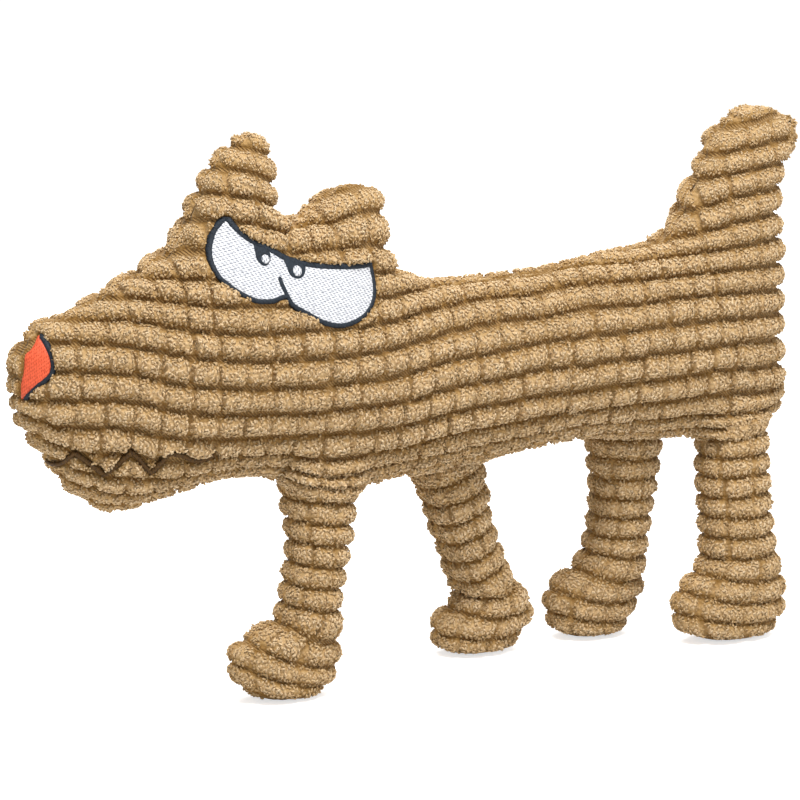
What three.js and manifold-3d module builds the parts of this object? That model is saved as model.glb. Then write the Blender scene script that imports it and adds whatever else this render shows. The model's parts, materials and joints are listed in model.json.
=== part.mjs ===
import * as THREE from "three";
import { mergeVertices } from "three/addons/utils/BufferGeometryUtils.js";
import Module from "manifold-3d";

// Stuffed dog toy in wide-ribbed plush. Millimetres, +X to the tail, -Y the embroidered left side, +Z up.
// While it is built, x runs from the nose seam and z from the floor, and the seam plane is y = 0.

// Plush cloth: ribs of pile, called wales, stand on a knitted ground.
const WALE_PITCH = 10.2;
const PILE_HEIGHT = 3;
const GROUND_THICKNESS = 1.6;
const CLOTH_THICKNESS = PILE_HEIGHT + GROUND_THICKNESS;
// Share of the pitch and share of the pile height, from one groove up to the crest of the wale.
const WALE_SHARES = [
  [0, 0],
  [0.5, 1],
];
// The pile lies down where a wale runs into a seam, over this share of a pitch.
const SEAM_FADE_SHARE = 0.4;

// Clearances, and the overrun of every cut.
const GAP = 0.3;
const HIP_CLEARANCE = 0.5;
const OVERRUN = 20;
const MERGE_DISTANCE = 1e-4;

// Trunk: head and body in one, between the nose seam and the rump seam.
const TRUNK_LENGTH = 358;
const TRUNK_DEPTH = 115;
const TRUNK_HALF_WIDTH = 33;
const BELLY_HEIGHT = 82;
const NOSE_ROUND = 12;
const RUMP_ROUND = 16;
// Back line and belly line: share of the length, share of the depth above the belly height.
const BACK_SHARES = [
  [0, 0.64],
  [0.033, 0.71],
  [0.067, 0.76],
  [0.11, 0.83],
  [0.15, 0.9],
  [0.19, 0.97],
  [0.24, 1],
  [0.33, 1.03],
  [0.4, 0.92],
  [0.475, 0.81],
  [0.52, 0.76],
  [0.6, 0.74],
  [0.65, 0.74],
  [0.71, 0.77],
  [0.8, 0.8],
  [0.9, 0.84],
  [0.96, 0.8],
  [1, 0.7],
];
const BELLY_SHARES = [
  [0, 0.31],
  [0.025, 0.21],
  [0.045, 0.07],
  [0.065, 0],
  [0.085, -0.04],
  [0.105, -0.04],
  [0.145, 0.01],
  [0.23, 0.08],
  [0.31, 0.06],
  [0.37, 0],
  [0.44, 0],
  [0.48, 0.015],
  [0.57, 0.05],
  [0.67, 0.08],
  [0.78, 0.06],
  [0.95, 0.06],
  [1, 0.08],
];
// Share of the length, share of the half width.
const TRUNK_SWELL_SHARES = [
  [0, 0.8],
  [0.06, 0.92],
  [0.15, 1],
  [0.31, 1],
  [0.4, 0.94],
  [0.48, 0.88],
  [0.6, 0.85],
  [0.76, 0.88],
  [0.9, 0.86],
  [1, 0.74],
];

// Ears and tail: stacks of elliptical rings on the seam plane, sewn in one piece with the side panels.
// Each row: share of the height, offset as a share of the root's half length, then the shares of the
// root's half length and half width.
const FRONT_EAR = {
  rootX: 92,
  rootHeight: 183,
  height: 53,
  halfLength: 29.5,
  halfWidth: 15,
  tilt: 0,
  ringShares: [
    [0, 0, 1, 1],
    [0.27, 0.01, 0.93, 0.93],
    [0.52, 0.04, 0.75, 0.82],
    [0.63, 0.12, 0.65, 0.75],
    [0.77, 0.2, 0.56, 0.68],
    [0.88, 0.24, 0.42, 0.54],
    [0.95, 0.27, 0.28, 0.38],
    [1, 0.28, 0.12, 0.2],
  ],
};
const REAR_EAR = {
  rootX: 144,
  rootHeight: 173,
  height: 39.5,
  halfLength: 28.5,
  halfWidth: 15,
  tilt: 0,
  ringShares: [
    [0, 0, 1, 1],
    [0.31, 0, 0.92, 0.96],
    [0.62, 0.03, 0.8, 0.86],
    [0.77, 0.15, 0.66, 0.75],
    [0.9, 0.23, 0.49, 0.56],
    [1, 0.33, 0.18, 0.24],
  ],
};
const TAIL = {
  rootX: 323.5,
  rootHeight: 160,
  height: 73,
  halfLength: 37.5,
  halfWidth: 22,
  tilt: THREE.MathUtils.degToRad(13),
  ringShares: [
    [0, 0, 1, 1],
    [0.34, 0.09, 0.9, 0.82],
    [0.45, 0.2, 0.82, 0.7],
    [0.59, 0.3, 0.77, 0.66],
    [0.74, 0.45, 0.77, 0.61],
    [0.85, 0.53, 0.66, 0.52],
    [0.93, 0.52, 0.42, 0.35],
    [1, 0.57, 0.14, 0.16],
  ],
};

// Legs: one cut for all four. Each hangs from a ball-shaped top that is sewn into the belly.
const HIP_HEIGHT = 88;
const HIP_RADIUS = 16.5;
const HIP_SPREAD = 9;
const HIP_TRAVEL = THREE.MathUtils.degToRad(15);
const SHANK_RADIUS = 15;
const FOOT_SHIFT = 9;
const FOOT_TILT = THREE.MathUtils.degToRad(14);
const SOLE_FLAT = 0.5;
// Share of the way down, shares of the foot shift and of the foot tilt, and half length and half width as
// shares of the shank's radius.
const LEG_RING_SHARES = [
  [0, 0, 0, 1.13, 1.02],
  [0.15, 0, 0, 1.14, 1.03],
  [0.4, 0, 0, 1.11, 1.03],
  [0.56, 0.03, 0.1, 1.12, 1.02],
  [0.65, 0.39, 0.45, 1.35, 1],
  [0.75, 0.83, 0.85, 1.76, 1.05],
  [0.85, 1, 1, 1.98, 1.06],
  [0.94, 0.94, 0.5, 1.83, 1],
  [1, 0.89, 0, 1.35, 0.7],
];
// Hip places from the nose seam, and each foot's own distance from the seam plane.
const LEFT_FRONT_HIP = 129;
const RIGHT_FRONT_HIP = 196.5;
const RIGHT_HIND_HIP = 287.5;
const LEFT_HIND_HIP = 329.5;
const LEFT_FRONT_SPREAD = 17;
const RIGHT_FRONT_SPREAD = 15;
const RIGHT_HIND_SPREAD = 18;
const LEFT_HIND_SPREAD = 16.5;
// Lean in degrees, down towards the tail. Side -1 is the left, embroidered side.
const LEGS = [
  {
    name: "left_front_leg",
    hipX: LEFT_FRONT_HIP,
    side: -1,
    lean: -6,
    footSpread: LEFT_FRONT_SPREAD,
    toeShare: 1.35,
  },
  {
    name: "right_front_leg",
    hipX: RIGHT_FRONT_HIP,
    side: 1,
    lean: 16,
    footSpread: RIGHT_FRONT_SPREAD,
    toeShare: 0.6,
  },
  {
    name: "right_hind_leg",
    hipX: RIGHT_HIND_HIP,
    side: 1,
    lean: -1,
    footSpread: RIGHT_HIND_SPREAD,
    toeShare: 0.8,
  },
  {
    name: "left_hind_leg",
    hipX: LEFT_HIND_HIP,
    side: -1,
    lean: 3,
    footSpread: LEFT_HIND_SPREAD,
    toeShare: 0.8,
  },
];

// Filling: the trunk's wads meet at these distances from the nose seam.
const CHEST_START = 157;
const RUMP_START = 244;

// Squeaker: a blown bulb with a reed plug in its mouth, between the chest and rump wads.
const BULB_RADIUS = 16;
const BULB_WALL = 1.2;
const BULB_SQUASH_SHARE = 0.7;
const BULB_HEIGHT = 129;
const PLUG_RADIUS = 4;
const PLUG_WALL = 1;
const PLUG_LENGTH = 9;
const PLUG_FLANGE_RADIUS = 6.5;
const PLUG_FLANGE = 1.4;
const REED_THICKNESS = 0.6;
const REED_LENGTH = 6;

// Embroidery: satin thread that presses the pile down, on the left side of the head.
const THREAD_SUNK = 0.7;
const THREAD_THICKNESS = 1.5;
const OUTLINE_WIDTH = 1.9;
const CATCHLIGHT_RADIUS = 2.2;
const PUPIL_RING = 0.9;
const EYE_X = 77;
const EYE_Z = 156;
const EYE_LENGTH = 76;
const EYE_DEPTH = 45;
const MOUTH_X = 11;
const MOUTH_Z = 104.5;
const MOUTH_LENGTH = 62;
const MOUTH_DEPTH = 8;
const MOUTH_WIDTH = 2;
const NOSE_PATCH_Z = 132;
const NOSE_PATCH_LENGTH = 7;
const NOSE_PATCH_HEIGHT = 27;
const NOSE_LINE_WIDTH = 1.6;
// Points on the middle of each stitched line, as shares of the motif's length and depth from its lower left
// corner. The eyes run together under one brow.
const BROW_SHARES = [
  [0.146, 1],
  [0.21, 0.86],
  [0.28, 0.765],
  [0.353, 0.69],
  [0.433, 0.605],
  [0.53, 0.567],
  [0.69, 0.507],
  [0.85, 0.48],
  [1, 0.467],
];
const REAR_LID_SHARES = [
  [0.96, 0.26],
  [0.92, 0.144],
  [0.81, 0.03],
  [0.675, 0],
  [0.563, 0.04],
  [0.417, 0.204],
  [0.38, 0.29],
];
const FRONT_LID_SHARES = [
  [0.237, 0.275],
  [0.095, 0.355],
  [0.01, 0.48],
  [0.007, 0.653],
  [0.06, 0.83],
];
const DIVIDER_SHARES = [
  [0.354, 0.469],
  [0.368, 0.389],
  [0.39, 0.29],
];
// The centre of each catchlight, then the two ends of its pupil on the brow.
const PUPIL_SHARES = [
  { centre: [0.308, 0.627], brow: [[0.355, 0.69], [0.275, 0.765]] },
  { centre: [0.48, 0.51], brow: [[0.547, 0.56], [0.425, 0.62]] },
];
const MOUTH_SHARES = [
  [0.02, 0.05],
  [0.02, 0.5],
  [0.03, 0.92],
  [0.11, 1],
  [0.29, 0.03],
  [0.39, 0.92],
  [0.44, 0.85],
  [0.5, 0.1],
  [0.64, 0.55],
  [0.71, 0.65],
  [0.88, 0.12],
  [1, 0.42],
];
const NOSE_PATCH_SHARES = [
  [0, 0.02],
  [0.15, 0.02],
  [0.51, 0.33],
  [0.9, 0.56],
  [0.93, 0.69],
  [0.87, 0.85],
  [0.7, 0.97],
  [0, 0.95],
];

// Facets.
const RING_POINTS = 8;
const SMOOTH_RING_POINTS = 6;
const SMOOTH_ROWS = 8;
const SMOOTH_STATIONS = 9;
const RIBBED_STATIONS = 11;
const END_STATIONS = 2;
const BALL_POINTS = 10;
const CURVE_POINTS = 2;
const POCKET_STEPS = 3;

const wasm = await Module();
wasm.setup();

// The closed solid of a geometry, with the triangles left out that have no area.
function solid(geometry) {
  const bare = geometry.clone();
  bare.deleteAttribute("normal");
  bare.deleteAttribute("uv");
  const merged = mergeVertices(bare, MERGE_DISTANCE);
  const corners = merged.index.array;
  const faces = [];
  for (let i = 0; i < corners.length; i += 3) {
    const [a, b, c] = corners.slice(i, i + 3);
    if (a !== b && b !== c && c !== a) {
      faces.push(a, b, c);
    }
  }
  const vertProperties = merged.attributes.position.array;
  const triVerts = new Uint32Array(faces);
  return new wasm.Manifold(new wasm.Mesh({ numProp: 3, vertProperties, triVerts }));
}

// A named mesh of a solid.
function piece(name, body, material) {
  const { vertProperties, triVerts } = body.getMesh();
  const geometry = new THREE.BufferGeometry();
  geometry.setAttribute("position", new THREE.BufferAttribute(vertProperties, 3));
  geometry.setIndex(new THREE.BufferAttribute(triVerts, 1));
  geometry.computeVertexNormals();
  const mesh = new THREE.Mesh(geometry, material);
  mesh.name = name;
  return mesh;
}

function joined(solids) {
  return solids.reduce((sum, next) => sum.add(next));
}

// The main body of a cloth shell, without the closed pockets that are left where ribs cross.
function mainBody(body) {
  return body.decompose().reduce((best, next) => (next.volume() > best.volume() ? next : best));
}

// A smooth curve through rows of a table: the first column is the place, the others are the values.
function tableCurve(table) {
  const places = table.map((row) => row[0]);
  const values = table.flatMap((row) => row.slice(1));
  const curve = new THREE.CubicInterpolant(places, values, table[0].length - 1);
  return (place) => [...curve.evaluate(place)];
}

// A closed solid through rings of points. Rings run up the stack, their points counter-clockwise from above.
// An end whose ring has collapsed to a seam line needs no cap.
function loft(rings, capped) {
  const size = rings[0].length;
  const positions = rings.flat().flatMap((point) => point.toArray());
  const faces = [];
  for (let i = 0; i < rings.length - 1; i += 1) {
    for (let j = 0; j < size; j += 1) {
      const next = (j + 1) % size;
      const low = i * size;
      const high = low + size;
      faces.push(low + j, low + next, high + next, low + j, high + next, high + j);
    }
  }
  if (capped) {
    for (const [ring, turn] of [[0, -1], [rings.length - 1, 1]]) {
      const centre = rings[ring].reduce((sum, point) => sum.add(point), new THREE.Vector3());
      const hub = positions.length / 3;
      positions.push(...centre.divideScalar(size).toArray());
      for (let j = 0; j < size; j += 1) {
        const a = ring * size + j;
        const b = ring * size + ((j + 1) % size);
        faces.push(...(turn > 0 ? [a, b, hub] : [b, a, hub]));
      }
    }
  }
  const geometry = new THREE.BufferGeometry();
  geometry.setAttribute("position", new THREE.Float32BufferAttribute(positions, 3));
  geometry.setIndex(faces);
  return solid(geometry);
}

// Box between two corners.
function block(low, high) {
  const size = high.clone().sub(low);
  const geometry = new THREE.BoxGeometry(size.x, size.y, size.z);
  return geometry.translate(...low.clone().add(high).multiplyScalar(0.5).toArray());
}

// Place and crest share of every row across a wale pattern that covers a stretch.
function waleRows(start, end, waleShares) {
  const rows = [];
  for (let n = Math.floor(start / WALE_PITCH); n * WALE_PITCH < end; n += 1) {
    for (const [pitchShare, crest] of waleShares) {
      rows.push({ place: (n + pitchShare) * WALE_PITCH, crest });
    }
  }
  return rows;
}

const backLine = tableCurve(BACK_SHARES);
const bellyLine = tableCurve(BELLY_SHARES);
const trunkSwell = tableCurve(TRUNK_SWELL_SHARES);

// Upright section of the trunk at x, drawn in from the crest surface by the inset.
function trunkSection(x, inset) {
  const share = x / TRUNK_LENGTH;
  const high = BELLY_HEIGHT + backLine(share)[0] * TRUNK_DEPTH - inset;
  const low = BELLY_HEIGHT + bellyLine(share)[0] * TRUNK_DEPTH + inset;
  const nose = Math.min((x - inset) / NOSE_ROUND, 1);
  const rump = Math.min((TRUNK_LENGTH - inset - x) / RUMP_ROUND, 1);
  const round = Math.sqrt(Math.max(nose * (2 - nose) * rump * (2 - rump), 0));
  const halfWidth = (trunkSwell(share)[0] * TRUNK_HALF_WIDTH - inset) * round;
  return { x, middle: (high + low) / 2, halfHeight: (high - low) / 2, halfWidth, round };
}

// Stations along the trunk, closer together at its rounded ends.
function trunkStations(inset, count) {
  const stations = [];
  for (let i = 0; i < END_STATIONS; i += 1) {
    stations.push(inset + NOSE_ROUND * (1 - Math.cos((i / END_STATIONS) * (Math.PI / 2))));
  }
  const start = inset + NOSE_ROUND;
  const end = TRUNK_LENGTH - inset - RUMP_ROUND;
  for (let i = 0; i <= count; i += 1) {
    stations.push(start + ((end - start) * i) / count);
  }
  for (let i = END_STATIONS - 1; i >= 0; i -= 1) {
    const drop = RUMP_ROUND * (1 - Math.cos((i / END_STATIONS) * (Math.PI / 2)));
    stations.push(TRUNK_LENGTH - inset - drop);
  }
  return stations;
}

// One side of a section, from the belly seam to the back seam, as points (y, z) of the right half.
function sideRows(section, rows) {
  const { middle, halfHeight, halfWidth, round } = section;
  const arch = new THREE.EllipseCurve(0, 0, halfWidth, halfHeight, -Math.PI / 2, Math.PI / 2);
  const length = arch.getLength();
  const belly = middle - length / 2;
  return rows.map(({ place, crest }) => {
    const reach = Math.min(Math.max(place - belly, 0), length);
    const toSeam = Math.min(reach, length - reach);
    const fade = Math.min(toSeam / (SEAM_FADE_SHARE * WALE_PITCH), 1) * round;
    const sunk = PILE_HEIGHT * (1 - crest * fade);
    const angle = Math.PI * (arch.getUtoTmapping(reach / length) - 1 / 2);
    const y = Math.max(halfWidth - sunk, 0) * Math.cos(angle);
    return [y, middle + (halfHeight - sunk) * Math.sin(angle)];
  });
}

// Ribbed skin surface of the trunk: wales run level along the flat panels, which swell between the seams.
function ribbedTrunk() {
  const spread = TRUNK_DEPTH + TRUNK_HALF_WIDTH;
  const rows = waleRows(BELLY_HEIGHT - spread / 2, BELLY_HEIGHT + spread * 2, WALE_SHARES);
  const rings = trunkStations(0, RIBBED_STATIONS).map((x) => {
    const side = sideRows(trunkSection(x, 0), rows);
    const right = side.map(([y, z]) => new THREE.Vector3(x, y, z));
    const left = side.map(([y, z]) => new THREE.Vector3(x, -y, z)).reverse();
    return [...right, ...left];
  });
  return loft(rings, false);
}

// Smooth surface under or over the pile.
function smoothTrunk(inset) {
  const rings = trunkStations(inset, SMOOTH_STATIONS).map((x) => {
    const { middle, halfHeight, halfWidth } = trunkSection(x, inset);
    const ring = [];
    for (let j = 0; j < 2 * SMOOTH_ROWS; j += 1) {
      const angle = (Math.PI * j) / SMOOTH_ROWS - Math.PI / 2;
      const y = j % SMOOTH_ROWS === 0 ? 0 : halfWidth * Math.cos(angle);
      ring.push(new THREE.Vector3(x, y, middle + halfHeight * Math.sin(angle)));
    }
    return ring;
  });
  return loft(rings, false);
}

// Elliptical ring about a centre; its length lies along X, turned down towards +X by the tilt.
// The two points on the seam plane are drawn in by the seam depth; a surface under the cloth has no seam.
function ring(centre, halfLength, halfWidth, tilt, seamDepth) {
  const points = [];
  const count = seamDepth > 0 ? RING_POINTS : SMOOTH_RING_POINTS;
  for (let j = 0; j < count; j += 1) {
    const angle = (2 * Math.PI * j) / count;
    const onSeam = j === 0 || j === count / 2;
    const reach = (onSeam ? Math.max(halfLength - seamDepth, GAP) : halfLength) * Math.cos(angle);
    const point = new THREE.Vector3(reach, halfWidth * Math.sin(angle), 0);
    points.push(point.applyAxisAngle(new THREE.Vector3(0, 1, 0), tilt).add(centre));
  }
  return points;
}

// How far the pile is drawn in where a ribbed ring crosses the seam.
function seamDepth(ribbed, crest) {
  return ribbed ? PILE_HEIGHT * crest + GAP : 0;
}

// Places up a stack of rings: two to a wale, or one in each groove for a surface under the cloth.
function ringPlaces(start, reach, ribbed) {
  const shares = ribbed ? WALE_SHARES : [[0, 1]];
  const crest = ribbed ? 0 : 1;
  const rows = waleRows(0, reach, shares).filter(({ place }) => place > start && place < reach - GAP);
  return [{ place: start, crest }, ...rows, { place: reach, crest }];
}

// Ear or tail, standing on the seam plane.
function standingForm(form, inset, ribbed) {
  const curve = tableCurve(form.ringShares);
  const reach = form.height - inset;
  const rings = ringPlaces(inset, reach, ribbed).map(({ place, crest }) => {
    const [offset, length, width] = curve(place / form.height);
    const sunk = inset + PILE_HEIGHT * (1 - crest);
    const x = form.rootX + offset * form.halfLength;
    const centre = new THREE.Vector3(x, 0, form.rootHeight + place);
    const halfLength = Math.max(length * form.halfLength - sunk, GAP);
    const halfWidth = Math.max(width * form.halfWidth - sunk, GAP);
    return ring(centre, halfLength, halfWidth, -form.tilt, seamDepth(ribbed, crest));
  });
  return loft(rings, true);
}

const legCurve = tableCurve(LEG_RING_SHARES);

// Tilt of a leg's seam plane, from the hip out to the foot.
function splay(leg) {
  return leg.side * Math.atan((leg.footSpread - HIP_SPREAD) / HIP_HEIGHT);
}

function hipCentre(leg) {
  return new THREE.Vector3(leg.hipX, leg.side * HIP_SPREAD, HIP_HEIGHT);
}

// Leg from its ball-shaped top to the flat sole, drawn in by the inset.
function legForm(leg, inset, ribbed) {
  const lean = Math.tan(THREE.MathUtils.degToRad(leg.lean));
  const height = HIP_HEIGHT + SOLE_FLAT;
  const reach = height - inset;
  const rings = ringPlaces(0, reach, ribbed).map(({ place, crest }) => {
    const [shift, tilt, length, width] = legCurve(place / height);
    const sunk = inset + PILE_HEIGHT * (1 - crest);
    const down = new THREE.Vector3(lean, Math.tan(splay(leg)), -1).multiplyScalar(place);
    const centre = hipCentre(leg).add(down);
    centre.x -= shift * leg.toeShare * FOOT_SHIFT;
    const halfLength = length * SHANK_RADIUS - sunk;
    const halfWidth = width * SHANK_RADIUS - sunk;
    return ring(centre, halfLength, halfWidth, tilt * FOOT_TILT, seamDepth(ribbed, crest));
  });
  const top = new THREE.SphereGeometry(HIP_RADIUS - inset, BALL_POINTS, BALL_POINTS / 2);
  top.translate(...hipCentre(leg).toArray());
  const floor = new THREE.Vector3(-OVERRUN, -TRUNK_LENGTH, -OVERRUN);
  const under = new THREE.Vector3(TRUNK_LENGTH + OVERRUN, TRUNK_LENGTH, inset);
  return loft(rings.reverse(), true).add(solid(top)).subtract(solid(block(floor, under)));
}

// Half of a leg's space on one side of its seam plane, kept clear of that plane by half the gap.
function legHalf(leg, outward) {
  const start = new THREE.Vector3(-TRUNK_LENGTH, GAP / 2, -HIP_HEIGHT - OVERRUN);
  const end = new THREE.Vector3(TRUNK_LENGTH, TRUNK_LENGTH, HIP_RADIUS + OVERRUN);
  const half = block(start, end);
  if (outward < 0) {
    half.rotateX(Math.PI).translate(0, 0, HIP_RADIUS - HIP_HEIGHT);
  }
  return solid(half.rotateX(splay(leg)).translate(...hipCentre(leg).toArray()));
}

// Room in the belly for the ball-shaped top of a leg, flared below the hip so that the shank can swing.
function hipPocket(leg) {
  const ball = (HIP_RADIUS + HIP_CLEARANCE) / Math.cos(Math.PI / BALL_POINTS);
  const brim = ball / Math.cos(HIP_TRAVEL);
  const rimRise = HIP_RADIUS * Math.sin(HIP_TRAVEL);
  const profile = [];
  const rimAngle = Math.asin(rimRise / ball);
  for (let i = 0; i <= POCKET_STEPS; i += 1) {
    const angle = Math.PI / 2 + ((rimAngle - Math.PI / 2) * i) / POCKET_STEPS;
    profile.unshift(new THREE.Vector2(i === 0 ? 0 : ball * Math.cos(angle), ball * Math.sin(angle)));
  }
  profile.unshift(new THREE.Vector2(brim, rimRise / 2));
  profile.unshift(new THREE.Vector2(brim + HIP_HEIGHT * Math.tan(HIP_TRAVEL), -HIP_HEIGHT));
  profile.unshift(new THREE.Vector2(0, -HIP_HEIGHT));
  const shape = new THREE.LatheGeometry(profile, BALL_POINTS).rotateX(Math.PI / 2);
  shape.rotateX(splay(leg)).rotateY(THREE.MathUtils.degToRad(-leg.lean));
  return solid(shape.translate(...hipCentre(leg).toArray()));
}

// Closed outline through hand-placed points, drawn as a smooth curve between its corners.
function arc(shares, length, depth, x, z) {
  const points = shares.map(([along, up]) => new THREE.Vector2(x + along * length, z + up * depth));
  return new THREE.SplineCurve(points).getPoints((points.length - 1) * CURVE_POINTS);
}

// Outline grown outwards by a distance; the points run counter-clockwise.
function grown(points, distance) {
  return points.map((point, i) => {
    const before = points[(i + points.length - 1) % points.length];
    const after = points[(i + 1) % points.length];
    const into = point.clone().sub(before).normalize();
    const out = after.clone().sub(point).normalize();
    const normal = new THREE.Vector2(into.y + out.y, -into.x - out.x).normalize();
    const stretch = Math.max(normal.x * out.y - normal.y * out.x, 1 / 2);
    return point.clone().addScaledVector(normal, distance / stretch);
  });
}

// Outline of a line of stitches of a given width.
function stroke(points, width) {
  const there = [];
  const back = [];
  points.forEach((point, i) => {
    const before = points[Math.max(i - 1, 0)];
    const after = points[Math.min(i + 1, points.length - 1)];
    const along = after.clone().sub(before).normalize();
    const aside = new THREE.Vector2(along.y, -along.x).multiplyScalar(width / 2);
    there.push(point.clone().add(aside));
    back.unshift(point.clone().sub(aside));
  });
  return [...there, ...back];
}

function disc(centre, radius) {
  const circle = new THREE.EllipseCurve(centre.x, centre.y, radius, radius);
  return circle.getPoints(RING_POINTS).slice(0, RING_POINTS);
}

// Prism of an outline, from just inside the seam plane out past the left side.
function prism(points) {
  const depth = TRUNK_HALF_WIDTH + OVERRUN;
  const shape = new THREE.Shape(points);
  const geometry = new THREE.ExtrudeGeometry(shape, { depth, bevelEnabled: false, curveSegments: 1 });
  return solid(geometry.rotateX(Math.PI / 2).translate(0, -GAP, 0));
}

const standingForms = [FRONT_EAR, REAR_EAR, TAIL];

// The whole toy without legs, drawn in from the crest surface.
function smoothBody(inset) {
  return joined([smoothTrunk(inset), ...standingForms.map((form) => standingForm(form, inset, false))]);
}

function ribbedBody() {
  return joined([ribbedTrunk(), ...standingForms.map((form) => standingForm(form, 0, true))]);
}

// Space beside the seam plane on one side, clear of it by half the gap.
function sideSpace(side) {
  const far = TRUNK_LENGTH;
  const near = GAP / 2;
  const low = new THREE.Vector3(-OVERRUN, side > 0 ? near : -far, 0);
  const high = new THREE.Vector3(TRUNK_LENGTH + OVERRUN, side > 0 ? far : -near, TRUNK_LENGTH);
  return solid(block(low, high));
}

// Slice of the trunk between two distances from the nose seam.
function lengthSpace(start, end) {
  const low = new THREE.Vector3(start, -TRUNK_LENGTH, 0);
  const high = new THREE.Vector3(end, TRUNK_LENGTH, TRUNK_LENGTH);
  return solid(block(low, high));
}

const materials = {
  plush: new THREE.MeshStandardMaterial({ color: 0xb8935f, roughness: 1, metalness: 0 }),
  filling: new THREE.MeshStandardMaterial({ color: 0xf2f0ea, roughness: 1, metalness: 0 }),
  whiteThread: new THREE.MeshStandardMaterial({ color: 0xe9ebee, roughness: 0.55, metalness: 0 }),
  darkThread: new THREE.MeshStandardMaterial({ color: 0x2b3540, roughness: 0.6, metalness: 0 }),
  orangeThread: new THREE.MeshStandardMaterial({ color: 0xe56341, roughness: 0.6, metalness: 0 }),
  brownThread: new THREE.MeshStandardMaterial({ color: 0x5a3d18, roughness: 0.7, metalness: 0 }),
  bulb: new THREE.MeshStandardMaterial({ color: 0xf4f1e6, roughness: 0.4, metalness: 0 }),
  plug: new THREE.MeshStandardMaterial({ color: 0xdad6c8, roughness: 0.5, metalness: 0 }),
};

// Outline of the joined eyes, the divider between them and the pupils, as flat lines and points.
function eyeMotif() {
  const placed = (shares) => arc(shares, EYE_LENGTH, EYE_DEPTH, EYE_X, EYE_Z);
  const edge = [...placed(FRONT_LID_SHARES), ...placed(BROW_SHARES), ...placed(REAR_LID_SHARES)].reverse();
  const pupils = PUPIL_SHARES.map(({ centre, brow }) => {
    const [middle, start, end] = [centre, ...brow].map(
      ([along, up]) => new THREE.Vector2(EYE_X + along * EYE_LENGTH, EYE_Z + up * EYE_DEPTH),
    );
    return { centre: middle, wedge: [start, end, middle] };
  });
  return { edge, divider: placed(DIVIDER_SHARES), pupils };
}

// Flat prisms of the eye: its white, its dark lines with the pupils, its catchlights and the dent it leaves.
function eyePrisms() {
  const { edge, divider, pupils } = eyeMotif();
  const halfLine = OUTLINE_WIDTH / 2;
  const inside = prism(grown(edge, -halfLine));
  const glint = ({ centre }, extra) => prism(disc(centre, CATCHLIGHT_RADIUS + extra));
  const pupil = ({ centre, wedge }, extra) =>
    glint({ centre }, PUPIL_RING + extra).add(prism(grown(wedge, extra))).intersect(prism(edge));
  const darkInside = (extra) => {
    const line = prism(stroke(divider, OUTLINE_WIDTH + extra * 2));
    return joined([line, ...pupils.map((each) => pupil(each, extra))]);
  };
  const dark = prism(grown(edge, halfLine)).subtract(inside).add(darkInside(0));
  return {
    white: prism(grown(edge, -halfLine - GAP)).subtract(darkInside(GAP)),
    dark: dark.subtract(joined(pupils.map((each) => glint(each, GAP)))),
    glints: pupils.map((each) => glint(each, 0)),
    dent: prism(grown(edge, halfLine + GAP)),
  };
}

// Left-side embroidery: its meshes, and the dent that it leaves in the cloth.
function embroidery() {
  const band = smoothBody(THREAD_SUNK).subtract(smoothBody(THREAD_SUNK + THREAD_THICKNESS));
  const eye = eyePrisms();
  const nose = arc(NOSE_PATCH_SHARES, NOSE_PATCH_LENGTH, NOSE_PATCH_HEIGHT, 0, NOSE_PATCH_Z);
  const noseLine = prism(grown(nose, NOSE_LINE_WIDTH + GAP)).subtract(prism(grown(nose, GAP)));
  const mouth = MOUTH_SHARES.map(
    ([along, up]) => new THREE.Vector2(MOUTH_X + along * MOUTH_LENGTH, MOUTH_Z + up * MOUTH_DEPTH),
  );
  const stitched = {
    eye_white: [eye.white, materials.whiteThread],
    eye_outline: [eye.dark, materials.darkThread],
    front_catchlight: [eye.glints[0], materials.whiteThread],
    rear_catchlight: [eye.glints[1], materials.whiteThread],
    nose_patch: [prism(nose), materials.orangeThread],
    nose_outline: [noseLine, materials.darkThread],
    mouth_stitch: [prism(stroke(mouth, MOUTH_WIDTH)), materials.brownThread],
  };
  const dents = [
    eye.dent,
    prism(grown(nose, NOSE_LINE_WIDTH + GAP * 2)),
    prism(stroke(mouth, MOUTH_WIDTH + GAP * 2)),
  ];
  const meshes = Object.entries(stitched).map(([name, [shape, material]]) =>
    piece(name, shape.intersect(band), material),
  );
  const overCloth = smoothBody(THREAD_SUNK + THREAD_THICKNESS + GAP);
  return { meshes, dent: joined(dents).subtract(overCloth) };
}

// Half profile of the bulb from its closed end to its mouth, grown outwards by a distance.
function bulbArc(grow, mouthRadius) {
  const radius = BULB_RADIUS + grow;
  const height = BULB_RADIUS * BULB_SQUASH_SHARE + grow;
  const sweep = Math.PI / 2 + Math.acos(mouthRadius / radius);
  const arc = [];
  for (let i = 0; i <= RING_POINTS; i += 1) {
    const angle = (sweep * i) / RING_POINTS - Math.PI / 2;
    arc.push(new THREE.Vector2(i === 0 ? 0 : radius * Math.cos(angle), height * Math.sin(angle)));
  }
  return arc;
}

// A turned shape with its axis along X, its upper end towards the tail.
function turned(profile) {
  const shape = new THREE.LatheGeometry(profile, BALL_POINTS);
  return shape.rotateX(Math.PI / 2).rotateY(Math.PI / 2);
}

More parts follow.
